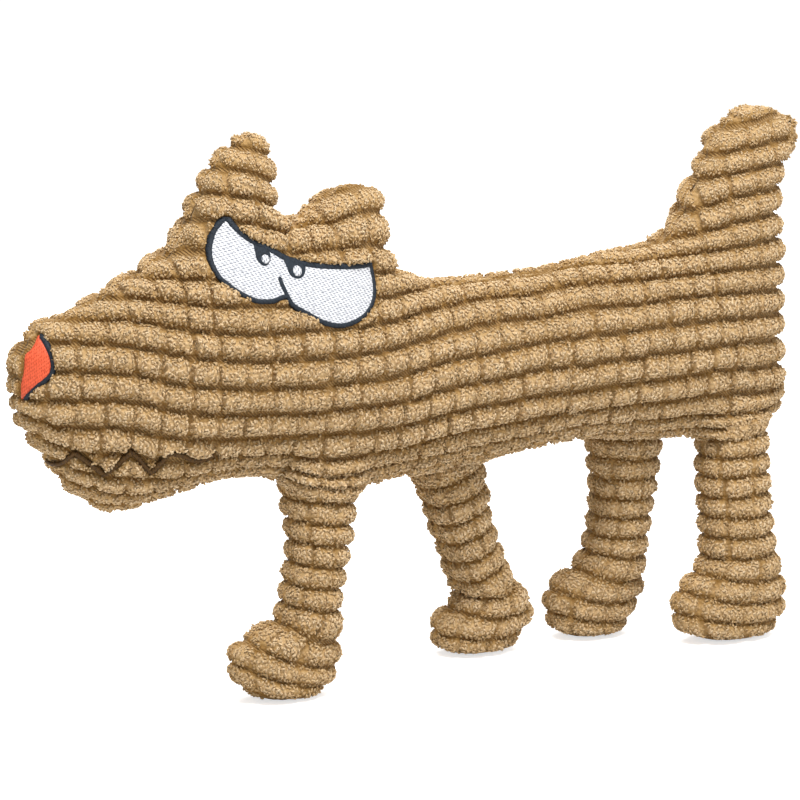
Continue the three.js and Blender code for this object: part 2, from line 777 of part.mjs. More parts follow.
// Squeaker about its own centre: bulb, plug through its mouth and the reed in the plug's bore.
function squeaker() {
  const outside = bulbArc(0, PLUG_RADIUS + GAP);
  const inside = bulbArc(-BULB_WALL, PLUG_RADIUS + GAP).reverse();
  const top = outside.at(-1).y + GAP;
  const foot = top - PLUG_LENGTH;
  const bore = PLUG_RADIUS - PLUG_WALL;
  const plug = [
    new THREE.Vector2(bore, foot),
    new THREE.Vector2(PLUG_RADIUS, foot),
    new THREE.Vector2(PLUG_RADIUS, top),
    new THREE.Vector2(PLUG_FLANGE_RADIUS, top),
    new THREE.Vector2(PLUG_FLANGE_RADIUS, top + PLUG_FLANGE),
    new THREE.Vector2(bore, top + PLUG_FLANGE),
    new THREE.Vector2(bore, foot),
  ];
  const reedWidth = 2 * (bore * Math.cos(Math.PI / BALL_POINTS) - GAP);
  const reed = new THREE.BoxGeometry(REED_LENGTH, REED_THICKNESS, reedWidth);
  reed.translate(top - PLUG_LENGTH / 2, 0, 0);
  const group = new THREE.Group();
  const bulb = [...outside, ...inside, outside[0]];
  group.add(piece("squeaker_bulb", solid(turned(bulb)), materials.bulb));
  group.add(piece("squeaker_plug", solid(turned(plug)), materials.plug));
  group.add(piece("squeaker_reed", solid(reed), materials.plug));
  group.position.set(RUMP_START, 0, BULB_HEIGHT);
  return group;
}

// Room in the filling for the squeaker.
function squeakerRoom() {
  const reach = PLUG_FLANGE_RADIUS + GAP;
  const lip = BULB_RADIUS * BULB_SQUASH_SHARE + PLUG_FLANGE;
  const profile = [...bulbArc(GAP, reach), new THREE.Vector2(reach, lip), new THREE.Vector2(0, lip)];
  return solid(turned(profile).translate(RUMP_START, 0, BULB_HEIGHT));
}

// Side panels: the whole cloth shell, split at the seam plane and opened for the legs.
function sidePanels(pockets, dent) {
  const shell = ribbedBody().subtract(smoothBody(CLOTH_THICKNESS)).subtract(pockets);
  const left = shell.intersect(sideSpace(-1)).subtract(dent);
  const right = shell.intersect(sideSpace(1));
  return [
    piece("left_side_panel", mainBody(left), materials.plush),
    piece("right_side_panel", mainBody(right), materials.plush),
  ];
}

// Wads of filling in the trunk, the ears and the tail; the smaller ones are cut by the trunk's.
function filling(pockets) {
  const trunk = smoothTrunk(CLOTH_THICKNESS + GAP).subtract(pockets).subtract(squeakerRoom());
  const half = GAP / 2;
  const trunkWads = {
    head_stuffing: [-OVERRUN, CHEST_START - half],
    chest_stuffing: [CHEST_START + half, RUMP_START - half],
    rump_stuffing: [RUMP_START + half, TRUNK_LENGTH + OVERRUN],
  };
  const wads = Object.entries(trunkWads).map(([name, [start, end]]) =>
    piece(name, trunk.intersect(lengthSpace(start, end)), materials.filling),
  );
  const standing = { front_ear_stuffing: FRONT_EAR, rear_ear_stuffing: REAR_EAR, tail_stuffing: TAIL };
  const cleared = smoothTrunk(CLOTH_THICKNESS);
  for (const [name, form] of Object.entries(standing)) {
    const wad = standingForm(form, CLOTH_THICKNESS + GAP, false).subtract(cleared);
    wads.push(piece(name, wad, materials.filling));
  }
  return wads;
}

// A leg: two panels of cloth round one wad of filling.
function legPieces(leg) {
  const shell = legForm(leg, 0, true).subtract(legForm(leg, CLOTH_THICKNESS, false));
  const outer = shell.intersect(legHalf(leg, leg.side));
  const inner = shell.intersect(legHalf(leg, -leg.side));
  const group = new THREE.Group();
  group.add(piece(`${leg.name}_outer_panel`, outer, materials.plush));
  group.add(piece(`${leg.name}_inner_panel`, inner, materials.plush));
  const wad = legForm(leg, CLOTH_THICKNESS + GAP, false);
  group.add(piece(`${leg.name}_stuffing`, wad, materials.filling));
  return group;
}

// The toy, moved so that its origin lies under the middle of its box.
function dogToy() {
  const pockets = joined(LEGS.map(hipPocket));
  const { meshes, dent } = embroidery();
  const trunk = new THREE.Group();
  trunk.add(...sidePanels(pockets, dent), ...filling(pockets), squeaker(), ...meshes);
  const toy = new THREE.Group();
  toy.add(trunk, ...LEGS.map(legPieces));
  const box = new THREE.Box3().setFromObject(toy, true);
  const middle = box.getCenter(new THREE.Vector3());
  toy.position.set(-middle.x, -middle.y, -box.min.z);
  return toy;
}

export default dogToy();
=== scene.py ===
"""Looks of a stuffed dog toy in wide-wale plush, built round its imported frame.

Lengths in the classes are millimetres in the toy's own frame: +X to the tail, -Y to the embroidered side,
+Z up, with the floor at zero. Meshes are turned to metres when they are written.
"""

import json
import logging
import math
from dataclasses import dataclass, field, replace
from enum import Enum

import bmesh
import bpy
import numpy as np
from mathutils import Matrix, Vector
from mathutils.bvhtree import BVHTree

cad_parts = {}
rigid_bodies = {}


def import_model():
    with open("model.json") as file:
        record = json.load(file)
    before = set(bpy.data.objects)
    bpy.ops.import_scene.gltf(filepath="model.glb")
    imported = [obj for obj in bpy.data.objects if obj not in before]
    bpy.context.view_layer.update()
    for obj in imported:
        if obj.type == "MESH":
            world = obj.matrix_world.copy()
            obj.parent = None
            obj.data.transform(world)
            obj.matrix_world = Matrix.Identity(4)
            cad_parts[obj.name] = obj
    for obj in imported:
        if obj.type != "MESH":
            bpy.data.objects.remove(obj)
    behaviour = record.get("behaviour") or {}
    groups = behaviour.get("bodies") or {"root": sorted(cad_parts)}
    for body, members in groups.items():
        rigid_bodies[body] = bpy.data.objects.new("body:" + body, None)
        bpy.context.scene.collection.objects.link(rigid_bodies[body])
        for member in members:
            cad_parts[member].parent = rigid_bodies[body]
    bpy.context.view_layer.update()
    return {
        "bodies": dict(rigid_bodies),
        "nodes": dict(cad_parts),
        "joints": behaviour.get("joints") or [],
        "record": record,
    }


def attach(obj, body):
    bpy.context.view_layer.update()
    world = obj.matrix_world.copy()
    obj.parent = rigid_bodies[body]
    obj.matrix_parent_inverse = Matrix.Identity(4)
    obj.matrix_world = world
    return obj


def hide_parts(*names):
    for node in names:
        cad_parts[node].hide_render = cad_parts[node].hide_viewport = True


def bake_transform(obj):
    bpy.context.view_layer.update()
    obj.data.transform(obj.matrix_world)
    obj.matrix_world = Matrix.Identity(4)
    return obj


LOG = logging.getLogger("dog_toy")
MM = 0.001


class Slot(Enum):
    """The record's material slots."""

    PLUSH = "plush"
    WHITE_THREAD = "white_thread"
    DARK_THREAD = "dark_thread"
    ORANGE_THREAD = "orange_thread"
    BROWN_THREAD = "brown_thread"
    SQUEAKER = "squeaker"


# Small geometry helpers


def rounded_loop(points: np.ndarray, steps: int) -> np.ndarray:
    """Draws a smooth closed line through points.

    Args:
        points: Rows of plane coordinates.
        steps: New points per given point.

    Returns:
        The denser rows, on a Catmull-Rom curve.
    """
    before, after, far = (np.roll(points, shift, 0) for shift in (1, -1, -2))
    share = (np.arange(steps) / steps)[None, :, None]
    before, points, after, far = (rows[:, None] for rows in (before, points, after, far))
    bend, twist = 2 * before - 5 * points + 4 * after - far, 3 * points - before - 3 * after + far
    dense = 0.5 * (2 * points + (after - before) * share + bend * share**2 + twist * share**3)
    return dense.reshape(-1, 2)


def smooth_line(points: np.ndarray, steps: int) -> np.ndarray:
    """Draws a smooth open line through points.

    Args:
        points: Rows of plane coordinates.
        steps: New points per given point.

    Returns:
        The denser rows, ends included.
    """
    padded = np.vstack([2 * points[0] - points[1], points, 2 * points[-1] - points[-2]])
    dense = rounded_loop(padded, steps)
    return dense[steps : steps * len(points) + 1]


def inside(points: np.ndarray, loop: np.ndarray) -> np.ndarray:
    """Tells which points lie within a closed line, by counting crossings.

    Args:
        points: Rows of plane coordinates.
        loop: The closed line's rows.

    Returns:
        One truth value per point.
    """
    result = np.zeros(len(points), bool)
    for start, end in zip(loop, np.roll(loop, -1, 0)):
        if start[1] == end[1]:
            continue
        across = (start[1] > points[:, 1]) != (end[1] > points[:, 1])
        cut = start[0] + (points[:, 1] - start[1]) * (end[0] - start[0]) / (end[1] - start[1])
        result ^= across & (points[:, 0] < cut)
    return result


def distance_to(points: np.ndarray, line: np.ndarray, closed: bool) -> tuple[np.ndarray, np.ndarray]:
    """Measures from points to a line.

    Args:
        points: Rows of plane coordinates.
        line: The line's rows.
        closed: Whether the line's last row joins its first.

    Returns:
        The distances, and the nearest places on the line.
    """
    best = np.full(len(points), np.inf)
    place = np.zeros((len(points), 2))
    ends = np.roll(line, -1, 0) if closed else line[1:]
    for start, end in zip(line, ends):
        span = end - start
        length = max(float(span @ span), 1e-12)
        share = np.clip((points - start) @ span / length, 0, 1)
        near = start + share[:, None] * span
        gap = np.hypot(*(points - near).T)
        closer = gap < best
        best = np.where(closer, gap, best)
        place[closer] = near[closer]
    return best, place


def step_up(value: np.ndarray, low: float, high: float) -> np.ndarray:
    """Rises smoothly from 0 at low to 1 at high."""
    share = np.clip((value - low) / (high - low), 0, 1)
    return share * share * (3 - 2 * share)


# Repeatable irregularity


# The largest number that the mixing of bits holds
WORD = 0xFFFFFFFF


def lattice_value(cells: np.ndarray, seed: int) -> np.ndarray:
    """Gives each whole-number cell its own value.

    Args:
        cells: Rows of whole numbers, of one to three columns.
        seed: Picks the pattern.

    Returns:
        One number from 0 to 1 per row.
    """
    mixed = np.full(len(cells), seed * 2654435761 % (WORD + 1), np.uint64)
    for column, prime in zip(cells.T, (73856093, 19349663, 83492791)):
        whole = column.astype(np.int64).astype(np.uint64)
        mixed = (mixed ^ (whole * np.uint64(prime))) & np.uint64(WORD)
        mixed = (mixed ^ (mixed >> np.uint64(15))) * np.uint64(2246822519) & np.uint64(WORD)
    mixed = (mixed ^ (mixed >> np.uint64(13))) * np.uint64(3266489917) & np.uint64(WORD)
    return (mixed ^ (mixed >> np.uint64(16))).astype(float) / WORD


def drift(points: np.ndarray, size: float, seed: int) -> np.ndarray:
    """Smooth irregularity.

    Args:
        points: Rows of coordinates.
        size: Width of one lump.
        seed: Picks the pattern.

    Returns:
        One number from -1 to 1 per point.
    """
    scaled = points / size
    cell = np.floor(scaled)
    share = scaled - cell
    share = share * share * (3 - 2 * share)
    total = np.zeros(len(points))
    columns = points.shape[1]
    for corner in np.ndindex(*(2,) * columns):
        weight = np.ones(len(points))
        for axis, up in enumerate(corner):
            weight *= share[:, axis] if up else 1 - share[:, axis]
        total += weight * lattice_value(cell + np.array(corner), seed)
    return 2 * total - 1


def nubs(points: np.ndarray, size: float, seed: int) -> np.ndarray:
    """Rounded nubs packed side by side.

    Args:
        points: Rows of space coordinates.
        size: Width of one nub.
        seed: Picks the pattern.

    Returns:
        1 on a nub's top, falling to 0 in the clefts between nubs.
    """
    scaled = points / size
    cell = np.floor(scaled)
    nearest = np.full(len(points), 9.0)
    for corner in np.ndindex(3, 3, 3):
        near = cell + np.array(corner) - 1
        gap = near - scaled
        for axis in range(3):
            gap[:, axis] += lattice_value(near, seed + axis)
        nearest = np.minimum(nearest, (gap**2).sum(1))
    return np.clip(1 - nearest, 0, 1)


# Meshes


def face_outward(form: bmesh.types.BMesh) -> None:
    """Turns all faces of a closed form outward."""
    bmesh.ops.recalc_face_normals(form, faces=form.faces[:])
    if form.calc_volume(signed=True) < 0:
        bmesh.ops.reverse_faces(form, faces=form.faces[:])


def new_object(name: str, data: bpy.types.ID) -> bpy.types.Object:
    """Links a mesh, lamp or camera to the scene as an object at the origin."""
    made = bpy.data.objects.new(name, data)
    bpy.context.scene.collection.objects.link(made)
    return made


def object_of(name: str, form: bmesh.types.BMesh) -> bpy.types.Object:
    """Turns a bmesh into a linked object and frees it."""
    mesh = bpy.data.meshes.new(name)
    form.to_mesh(mesh)
    form.free()
    return new_object(name, mesh)


def places_of(mesh: bpy.types.Mesh) -> np.ndarray:
    """Reads a mesh's vertices, in its own unit."""
    flat = np.empty(len(mesh.vertices) * 3, np.float32)
    mesh.vertices.foreach_get("co", flat)
    return flat.reshape(-1, 3).astype(float)


def normals_of(mesh: bpy.types.Mesh) -> np.ndarray:
    """Reads a mesh's vertex normals."""
    flat = np.empty(len(mesh.vertices) * 3, np.float32)
    mesh.vertex_normals.foreach_get("vector", flat)
    return flat.reshape(-1, 3).astype(float)


def set_places(mesh: bpy.types.Mesh, places: np.ndarray) -> None:
    """Writes a mesh's vertices."""
    mesh.vertices.foreach_set("co", places.astype(np.float32).ravel())
    mesh.update()


def write_values(mesh: bpy.types.Mesh, name: str, values: np.ndarray) -> None:
    """Stores one number per vertex under a name."""
    layer = mesh.attributes.get(name) or mesh.attributes.new(name, "FLOAT", "POINT")
    layer.data.foreach_set("value", values.astype(np.float32))


def read_values(mesh: bpy.types.Mesh, name: str) -> np.ndarray:
    """Reads one stored number per vertex."""
    values = np.empty(len(mesh.vertices), np.float32)
    mesh.attributes[name].data.foreach_get("value", values)
    return values.astype(float)


def baked(target: bpy.types.Object) -> bpy.types.Object:
    """Applies an object's modifiers and returns it."""
    view = bpy.context.evaluated_depsgraph_get()
    shown = target.evaluated_get(view)
    mesh = bpy.data.meshes.new_from_object(shown, preserve_all_data_layers=True, depsgraph=view)
    target.modifiers.clear()
    old = target.data
    target.data = mesh
    bpy.data.meshes.remove(old)
    return target


def refined(target: bpy.types.Object, levels: int) -> bpy.types.Object:
    """Smooths an object by subdivision and applies it."""
    change = target.modifiers.new("smooth", "SUBSURF")
    change.levels = change.render_levels = levels
    change.boundary_smooth = "PRESERVE_CORNERS"
    return baked(target)


def remeshed(target: bpy.types.Object, voxel: float) -> bpy.types.Object:
    """Rebuilds a closed object from even squares and applies it."""
    change = target.modifiers.new("even", "REMESH")
    change.mode = "VOXEL"
    change.voxel_size = voxel
    return baked(target)


def flat_of(form: bmesh.types.BMesh) -> np.ndarray:
    """Reads a flat form's corners as rows of plane coordinates."""
    return np.array([(v.co.x, v.co.y) for v in form.verts])


def move_to(form: bmesh.types.BMesh, places: np.ndarray) -> None:
    """Moves a form's corners to rows of space coordinates."""
    for vertex, place in zip(form.verts, places):
        vertex.co = place


def flat_grid(loop: np.ndarray, spacing: float) -> bmesh.types.BMesh:
    """Fills an outline with even squares whose outer corners lie on it.

    Args:
        loop: The outline's rows.
        spacing: Side of a square.

    Returns:
        The flat form.
    """
    low, high = loop.min(0) - 2 * spacing, loop.max(0) + 2 * spacing
    counts = np.ceil((high - low) / spacing).astype(int)
    form = bmesh.new()
    bmesh.ops.create_grid(form, x_segments=int(counts[0]), y_segments=int(counts[1]), size=1)
    form.verts.index_update()
    flat = low + (flat_of(form) + 1) / 2 * counts * spacing
    within = inside(flat, loop)
    flat = np.where(within[:, None], flat, distance_to(flat, loop, True)[1])
    move_to(form, np.column_stack([flat, np.zeros(len(flat))]))
    outer = [f for f in form.faces if not any(within[v.index] for v in f.verts)]
    bmesh.ops.delete(form, geom=outer, context="FACES")
    bmesh.ops.delete(form, geom=[v for v in form.verts if not v.link_faces], context="VERTS")
    return form


def small_ball() -> tuple[np.ndarray, list[list[int]]]:
    """Makes a coarse ball of diameter 1: its corners, and the corner numbers of its faces."""
    form = bmesh.new()
    bmesh.ops.create_uvsphere(form, u_segments=3, v_segments=4, radius=0.5)
    form.verts.index_update()
    corners = np.array([v.co for v in form.verts])
    faces = [[v.index for v in f.verts] for f in form.faces]
    form.free()
    return corners, faces


def many_forms(name: str, spots: np.ndarray, faces: list[list[int]]) -> bpy.types.Mesh:
    """Makes one mesh of many forms that have the same faces.

    Args:
        name: The mesh's name.
        spots: Corners in metres, by form, corner and axis.
        faces: Corner numbers of each face of one form.

    Returns:
        The mesh.
    """
    count, corners = spots.shape[:2]
    loops = (np.concatenate(faces)[None] + np.arange(count)[:, None] * corners).ravel()
    totals = np.tile([len(face) for face in faces], count)
    mesh = bpy.data.meshes.new(name)
    mesh.vertices.add(count * corners)
    mesh.vertices.foreach_set("co", spots.astype(np.float32).ravel())
    mesh.loops.add(len(loops))
    mesh.loops.foreach_set("vertex_index", loops.astype(np.int32))
    mesh.polygons.add(len(totals))
    mesh.polygons.foreach_set("loop_start", (np.cumsum(totals) - totals).astype(np.int32))
    mesh.update(calc_edges=True)
    return mesh


def join_mesh(mesh: bpy.types.Mesh, extra: bpy.types.Mesh) -> None:
    """Adds an extra mesh to a mesh and removes the extra one."""
    form = bmesh.new()
    form.from_mesh(mesh)
    form.from_mesh(extra)
    form.to_mesh(mesh)
    form.free()
    bpy.data.meshes.remove(extra)


# Finishes


# What feeds a node: a number, a colour or vector, or another node's output
Socket = bpy.types.NodeSocket
Feed = float | tuple | Socket


def linear(code: str) -> tuple[float, float, float, float]:
    """Turns an sRGB hex colour into linear RGBA."""
    shares = [int(code[i : i + 2], 16) / 255 for i in (0, 2, 4)]
    return (*[s / 12.92 if s <= 0.04045 else ((s + 0.055) / 1.055) ** 2.4 for s in shares], 1.0)


@dataclass(frozen=True)
class Shading:
    """A tree of shader nodes: each method adds a node and hands on what comes out of it."""

    tree: bpy.types.NodeTree

    def add(self, kind: str, feeds: dict[int | str, Feed], out: int | str = 0, **settings) -> Socket:
        """Adds one node.

        Args:
            kind: Blender's node type, after its first word ShaderNode.
            feeds: Input name or index to a value, or to the socket that feeds it.
            out: Name or index of the output that is handed on.
            settings: Properties of the node.

        Returns:
            The output.
        """
        node = self.tree.nodes.new("ShaderNode" + kind)
        for name, value in settings.items():
            setattr(node, name, value)
        for key, value in feeds.items():
            if isinstance(value, Socket):
                self.tree.links.new(value, node.inputs[key])
            else:
                node.inputs[key].default_value = value
        return node.outputs[out]

    def end(self, surface: Socket, kind: str = "Material") -> None:
        """Leads a shader to the output of a material or a world."""
        output = self.tree.nodes.new("ShaderNodeOutput" + kind)
        self.tree.links.new(surface, output.inputs["Surface"])

    def calc(self, operation: str, *values: Feed) -> Socket:
        """Works out one operation on one to three values."""
        return self.add("Math", dict(enumerate(values)), operation=operation)

    def stored(self, name: str) -> Socket:
        """Reads a value that is stored at the vertices."""
        return self.add("Attribute", {}, "Fac", attribute_name=name)

    def noise(self, place: Socket, scale: float, detail: float, out: str = "Fac") -> Socket:
        """Draws cloudy irregularity."""
        return self.add("TexNoise", {"Vector": place, "Scale": scale, "Detail": detail}, out)

    def span(self, value: Socket, low: float, high: float, start: float = 0, end: float = 1) -> Socket:
        """Maps a value from low and high to start and end."""
        feeds = {"Value": value, "From Min": low, "From Max": high, "To Min": start, "To Max": end}
        return self.add("MapRange", feeds)

    def mix(self, share: Socket, first: Feed, second: Feed) -> Socket:
        """Mixes two colours."""
        return self.add("Mix", {0: share, 6: first, 7: second}, 2, data_type="RGBA")

    def bump(self, height: Socket, strength: float, depth_mm: float) -> Socket:
        """Turns a height into a bumpy normal."""
        return self.add("Bump", {"Height": height, "Strength": strength, "Distance": depth_mm * MM})

    def ramp(self, value: Socket, stops: tuple[tuple[float, str], ...]) -> Socket:
        """Colours a value.

        Args:
            value: What picks the colour.
            stops: Rows of a value and its hex colour, from low to high.

        Returns:
            The colour.
        """
        node = self.tree.nodes.new("ShaderNodeValToRGB")
        self.tree.links.new(value, node.inputs["Fac"])
        marks = node.color_ramp.elements
        for index in (0, -1):
            marks[index].position, marks[index].color = stops[index][0], linear(stops[index][1])
        for position, code in stops[1:-1]:
            marks.new(position).color = linear(code)
        return node.outputs["Color"]


def blank_material(name: str) -> tuple[bpy.types.Material, Shading]:
    """Makes an empty node material."""
    made = bpy.data.materials.new(name)
    made.use_nodes = True
    made.node_tree.nodes.clear()
    return made, Shading(made.node_tree)


@dataclass(frozen=True)
class PilePlush:
    """Wide-wale polyester pile on a knitted ground, sheared and curled.

    It gives soft matt ribs with a painted highlight on the curly tips, painted shade in the clefts between
    the curls and down the sides of the wales, and a twilled ground in the grooves.
    """

    # The cleft and root colours are painted shade for the depths of the pile, body is the cloth's own
    # colour, and the tip colour is a painted highlight
    painted_cleft_shade: str = "7a5828"
    root: str = "a98756"
    body: str = "cdae82"
    painted_tip_highlight: str = "ecd5b1"
    ground: str = "a88655"
    ground_dark: str = "866439"
    sheen: str = "f6e6cb"
    waver_mm: float = 2.4
    offset_mm: float = 1.3
    curl_mm: float = 1.5
    stray_mm: float = 0.55
    twill_mm: float = 1.1
    twill_degrees: float = 42.0

    def material(self) -> bpy.types.Material:
        """Builds the node material."""
        made, tree = blank_material("wide_wale_pile")
        place = tree.add("TexCoord", {}, "Object")
        pile = tree.stored("pile")
        waver = tree.noise(place, 1 / (self.waver_mm * MM), 1.0, "Color")
        offset = tree.add("VectorMath", {0: waver, "Scale": self.offset_mm * MM}, operation="SCALE")
        bent = tree.add("VectorMath", {0: place, 1: offset}, operation="ADD")
        cell = tree.add("TexVoronoi", {"Vector": bent, "Scale": 1 / (self.curl_mm * MM)}, "Distance")
        curl = tree.span(cell, 0.15, 0.8, 1, 0)
        stray = tree.noise(bent, 1 / (self.stray_mm * MM), 2.0)
        fluff = tree.calc("MULTIPLY_ADD", stray, 0.5, curl)
        # Painted shade and highlight: the stored pile tone and the curls' clefts darken the coat towards the
        # cleft colour down the wales and pale it to the tip colour on top
        tone_with_painted_shade = tree.calc("MULTIPLY_ADD", fluff, 0.16, tree.calc("MULTIPLY", pile, 0.85))
        coat_with_painted_shade_and_highlight = tree.ramp(tone_with_painted_shade, ((0.22, self.painted_cleft_shade), (0.46, self.root), (0.72, self.body), (1, self.painted_tip_highlight)))
        slant = tree.add("Mapping", {"Vector": place, "Rotation": (0, math.radians(self.twill_degrees), 0)})
        wave = {"Vector": slant, "Scale": 0.314 / (self.twill_mm * MM), "Distortion": 1.2, "Detail": 1.0}
        twill = tree.add("TexWave", wave, "Fac")
        weave = tree.mix(twill, linear(self.ground_dark), linear(self.ground))
        above = tree.span(pile, 0.04, 0.16)
        rise = tree.add("Mix", {0: above, 2: twill, 3: fluff}, data_type="FLOAT")
        look = {
            "Base Color": tree.mix(above, weave, coat_with_painted_shade_and_highlight),
            "Roughness": 0.95,
            "Specular IOR Level": 0.12,
            "Sheen Weight": 0.3,
            "Sheen Roughness": 0.45,
            "Sheen Tint": linear(self.sheen),
            "Normal": tree.bump(rise, 0.8, 0.55),
        }
        tree.end(tree.add("BsdfPrincipled", look))
        return made


@dataclass(frozen=True)
class SatinThread:
    """Rayon embroidery thread laid side by side in satin stitch.

    It gives a soft gloss, with painted shade in fine parallel lines between the threads and in a few needle
    holes.
    """

    name: str
    light: str
    # The dark colour is painted shade, between the threads and in the needle holes
    dark: str
    thread_mm: float = 0.42
    row_mm: float = 0.8
    stitch_mm: float = 2.1
    holes: float = 0.6
    roughness: float = 0.45

    def material(self) -> bpy.types.Material:
        """Builds the node material."""
        made, tree = blank_material(self.name)
        across, along = tree.stored("across"), tree.stored("along")
        place = tree.add("CombineXYZ", {"X": across, "Y": along})
        waver = tree.noise(place, 0.7, 2.0)
        row = tree.calc("MULTIPLY_ADD", across, 1 / self.row_mm, waver)
        shift = tree.calc("MULTIPLY", tree.calc("FLOOR", row), 0.43)
        stitch = tree.calc("MULTIPLY_ADD", along, 1 / self.stitch_mm, shift)
        ends = tree.span(tree.calc("PINGPONG", stitch, 0.5), 0.2, 0.28)
        sides = tree.span(tree.calc("PINGPONG", row, 0.5), 0.2, 0.36)
        dash = tree.calc("MULTIPLY", tree.calc("MULTIPLY", ends, sides), 2 * self.holes)
        hole = tree.calc("MULTIPLY", dash, tree.noise(place, 1.4, 1.0))
        ridge = tree.calc("SINE", tree.calc("MULTIPLY", across, math.tau / self.thread_mm))
        # Painted shade: the thread ridges and needle holes darken the colour towards the dark one, over a
        # random tone from the noise; the same level gives the bump
        level = tree.calc("SUBTRACT", tree.calc("MULTIPLY_ADD", ridge, 0.1, waver), hole)
        look = {
            "Base Color": tree.ramp(level, ((0.08, self.dark), (0.5, self.light))),
            "Roughness": self.roughness,
            "Specular IOR Level": 0.3,
            "Normal": tree.bump(level, 0.6, 0.25),
        }
        tree.end(tree.add("BsdfPrincipled", look))
        return made


@dataclass(frozen=True)
class BlownPlastic:
    """Blown polyethylene of the hidden squeaker.

    It gives a milky, faintly mottled, waxy surface.
    """

    light: str = "e8e5dc"
    dark: str = "d6d2c6"
    mottle_mm: float = 4.0

    def material(self) -> bpy.types.Material:
        """Builds the node material."""
        made, tree = blank_material("blown_polyethylene")
        mottle = tree.noise(tree.add("TexCoord", {}, "Object"), 1 / (self.mottle_mm * MM), 2.0)
        colour = tree.mix(mottle, linear(self.dark), linear(self.light))
        tree.end(tree.add("BsdfPrincipled", {"Base Color": colour, "Roughness": 0.4}))
        return made


# The cloth


@dataclass(frozen=True)
class WaleCloth:
    """Jumbo corduroy plush: how its pile stands up from the ground, in millimetres.

    Rib is the share of a wale that pile covers, a block is the pile between two cuts, and a lock is one of
    the curls that grow on it. Near the seam the cloth is drawn in, the pile is shorter and the locks are
    finer: seam, short and fine tell how far from it. No lock grows where the pile's share is under bare.
    """

    pitch: float = 10.9
    pile: float = 3.9
    rib: float = 0.89
    wander: float = 22.0
    block: float = 11.8
    block_drift: float = 26.0
    notch: float = 1.7
    corner: float = 3.0
    nub: float = 2.6
    nub_height: float = 0.5
    on_seam: float = 0.05
    seam: float = 2.6
    seam_depth: float = 1.0
    short: float = 13.0
    lock_gap: float = 1.35
    lock_length: float = 2.0
    lock_girth: float = 1.15
    lock_turn: float = 0.62
    lock_shape: tuple[float, float] = (0.4, 0.62)
    lock_depth: float = 0.14
    bare: float = 0.32
    fine: float = 14.0

    def raise_pile(self, mesh: bpy.types.Mesh, seed: int, keep: np.ndarray | None = None) -> None:
        """Displaces a smooth mesh, in metres, into wales and blocks, and grows curled locks on them.

        Args:
            mesh: Carries the vertex values wale, along and rim, in millimetres but wale in counts.
            seed: Picks the irregularities.
            keep: Share of the pile that is left at each vertex.
        """
        places = places_of(mesh) / MM
        normals = normals_of(mesh)
        wale, along, rim = (read_values(mesh, name) for name in ("wale", "along", "rim"))
        normals[rim < self.on_seam, 1] = 0
        keep = np.ones(len(places)) if keep is None else keep
        wander = drift(np.stack([along, wale * self.pitch], 1), self.wander, seed) * 0.08
        wale += wander + drift(places, 4, seed + 1) * 0.05
        count = np.floor(wale)
        across = np.abs((wale - count) * 2 - 1)
        rib = np.clip(1 - (across / self.rib) ** 2, 0, 1) ** 0.75
        share = self.cut_blocks(rib, across, count, along, seed + 2)
        edging = step_up(rim, 0, self.seam)
        share = share * keep * (0.7 + 0.3 * step_up(rim, 1, self.short))
        fluff = nubs(places, self.nub, seed + 6) - 0.45
        height = self.pile * share + self.nub_height * fluff * share
        height = height * (0.35 + 0.65 * edging) - self.seam_depth * (1 - edging)
        set_places(mesh, (places + normals * height[:, None]) * MM)
        # Painted shade: the stored pile tone darkens down the sides of each wale, between the nubs, where
        # less pile is kept and towards the seam
        tone_with_painted_shade = np.clip(rib * keep * (0.42 + 0.1 * fluff + 0.2 * share), 0, 1) * (0.75 + 0.25 * edging)
        write_values(mesh, "pile", tone_with_painted_shade)
        scale = 0.6 + 0.4 * step_up(rim, 2, 2 + self.fine)
        self.grow_locks(mesh, normals, share * (0.9 + 0.1 * edging), scale, seed + 20)

    def cut_blocks(
        self, rib: np.ndarray, across: np.ndarray, count: np.ndarray, along: np.ndarray, seed: int
    ) -> np.ndarray:
        """Cuts the ribs into blocks of uneven height, with cuts of uneven depth.

        Args:
            rib: Height of the uncut rib at each vertex, as a share.
            across: Distance from the wale's middle, as a share of its half width.
            count: Number of the wale.
            along: Place along the wale, in millimetres.
            seed: Picks the irregularities.

        Returns:
            The height of the pile, as a share.
        """
        start = 0.14 * lattice_value(count[:, None], seed)
        start += 0.22 * drift(np.stack([along, count * 9], 1), self.block_drift, seed + 1)
        block = along / self.block + start
        number = np.floor(block)
        reach = (0.5 - np.abs(block - number - 0.5)) * self.block
        edge = np.where(block - number > 0.5, number + 1, number)
        shared = lattice_value(edge[:, None], seed + 2)
        own = lattice_value(np.stack([count, edge], 1), seed + 3)
        depth = 0.25 + 0.72 * np.clip(0.25 * shared + 0.85 * own, 0, 1) ** 1.3
        cut = 1 - depth * np.clip(1 - (reach / self.notch) ** 2, 0, 1)
        corner = 1 - 0.5 * depth * np.clip(1 - reach / self.corner, 0, 1) ** 1.5 * across**2
        tall = 1 + 0.2 * (lattice_value(np.stack([count, number], 1), seed + 3) - 0.5)
        return rib * cut * corner * tall

    def grow_locks(
        self, mesh: bpy.types.Mesh, smooth: np.ndarray, share: np.ndarray, scale: np.ndarray, seed: int
    ) -> None:
        """Adds the curled locks of the pile to a displaced mesh, with one root in each small cell.

        Args:
            mesh: The displaced mesh, in metres.
            smooth: Its normals before the displacement.
            share: How high the pile stands at each vertex.
            scale: Size of the locks at each vertex, against the full size.
            seed: Picks the irregularities.
        """
        places = places_of(mesh) / MM
        normals = normals_of(mesh)
        cell = np.floor(places / self.lock_gap).astype(np.int64)
        # The order of the vertices may change from run to run, so roots are picked by their place
        order = np.lexsort(np.round(places, 2).T)
        key = (cell[:, 0] * 4096 + cell[:, 1]) * 4096 + cell[:, 2]
        picked = order[np.unique(key[order], return_index=True)[1]]
        picked = picked[share[picked] > self.bare]
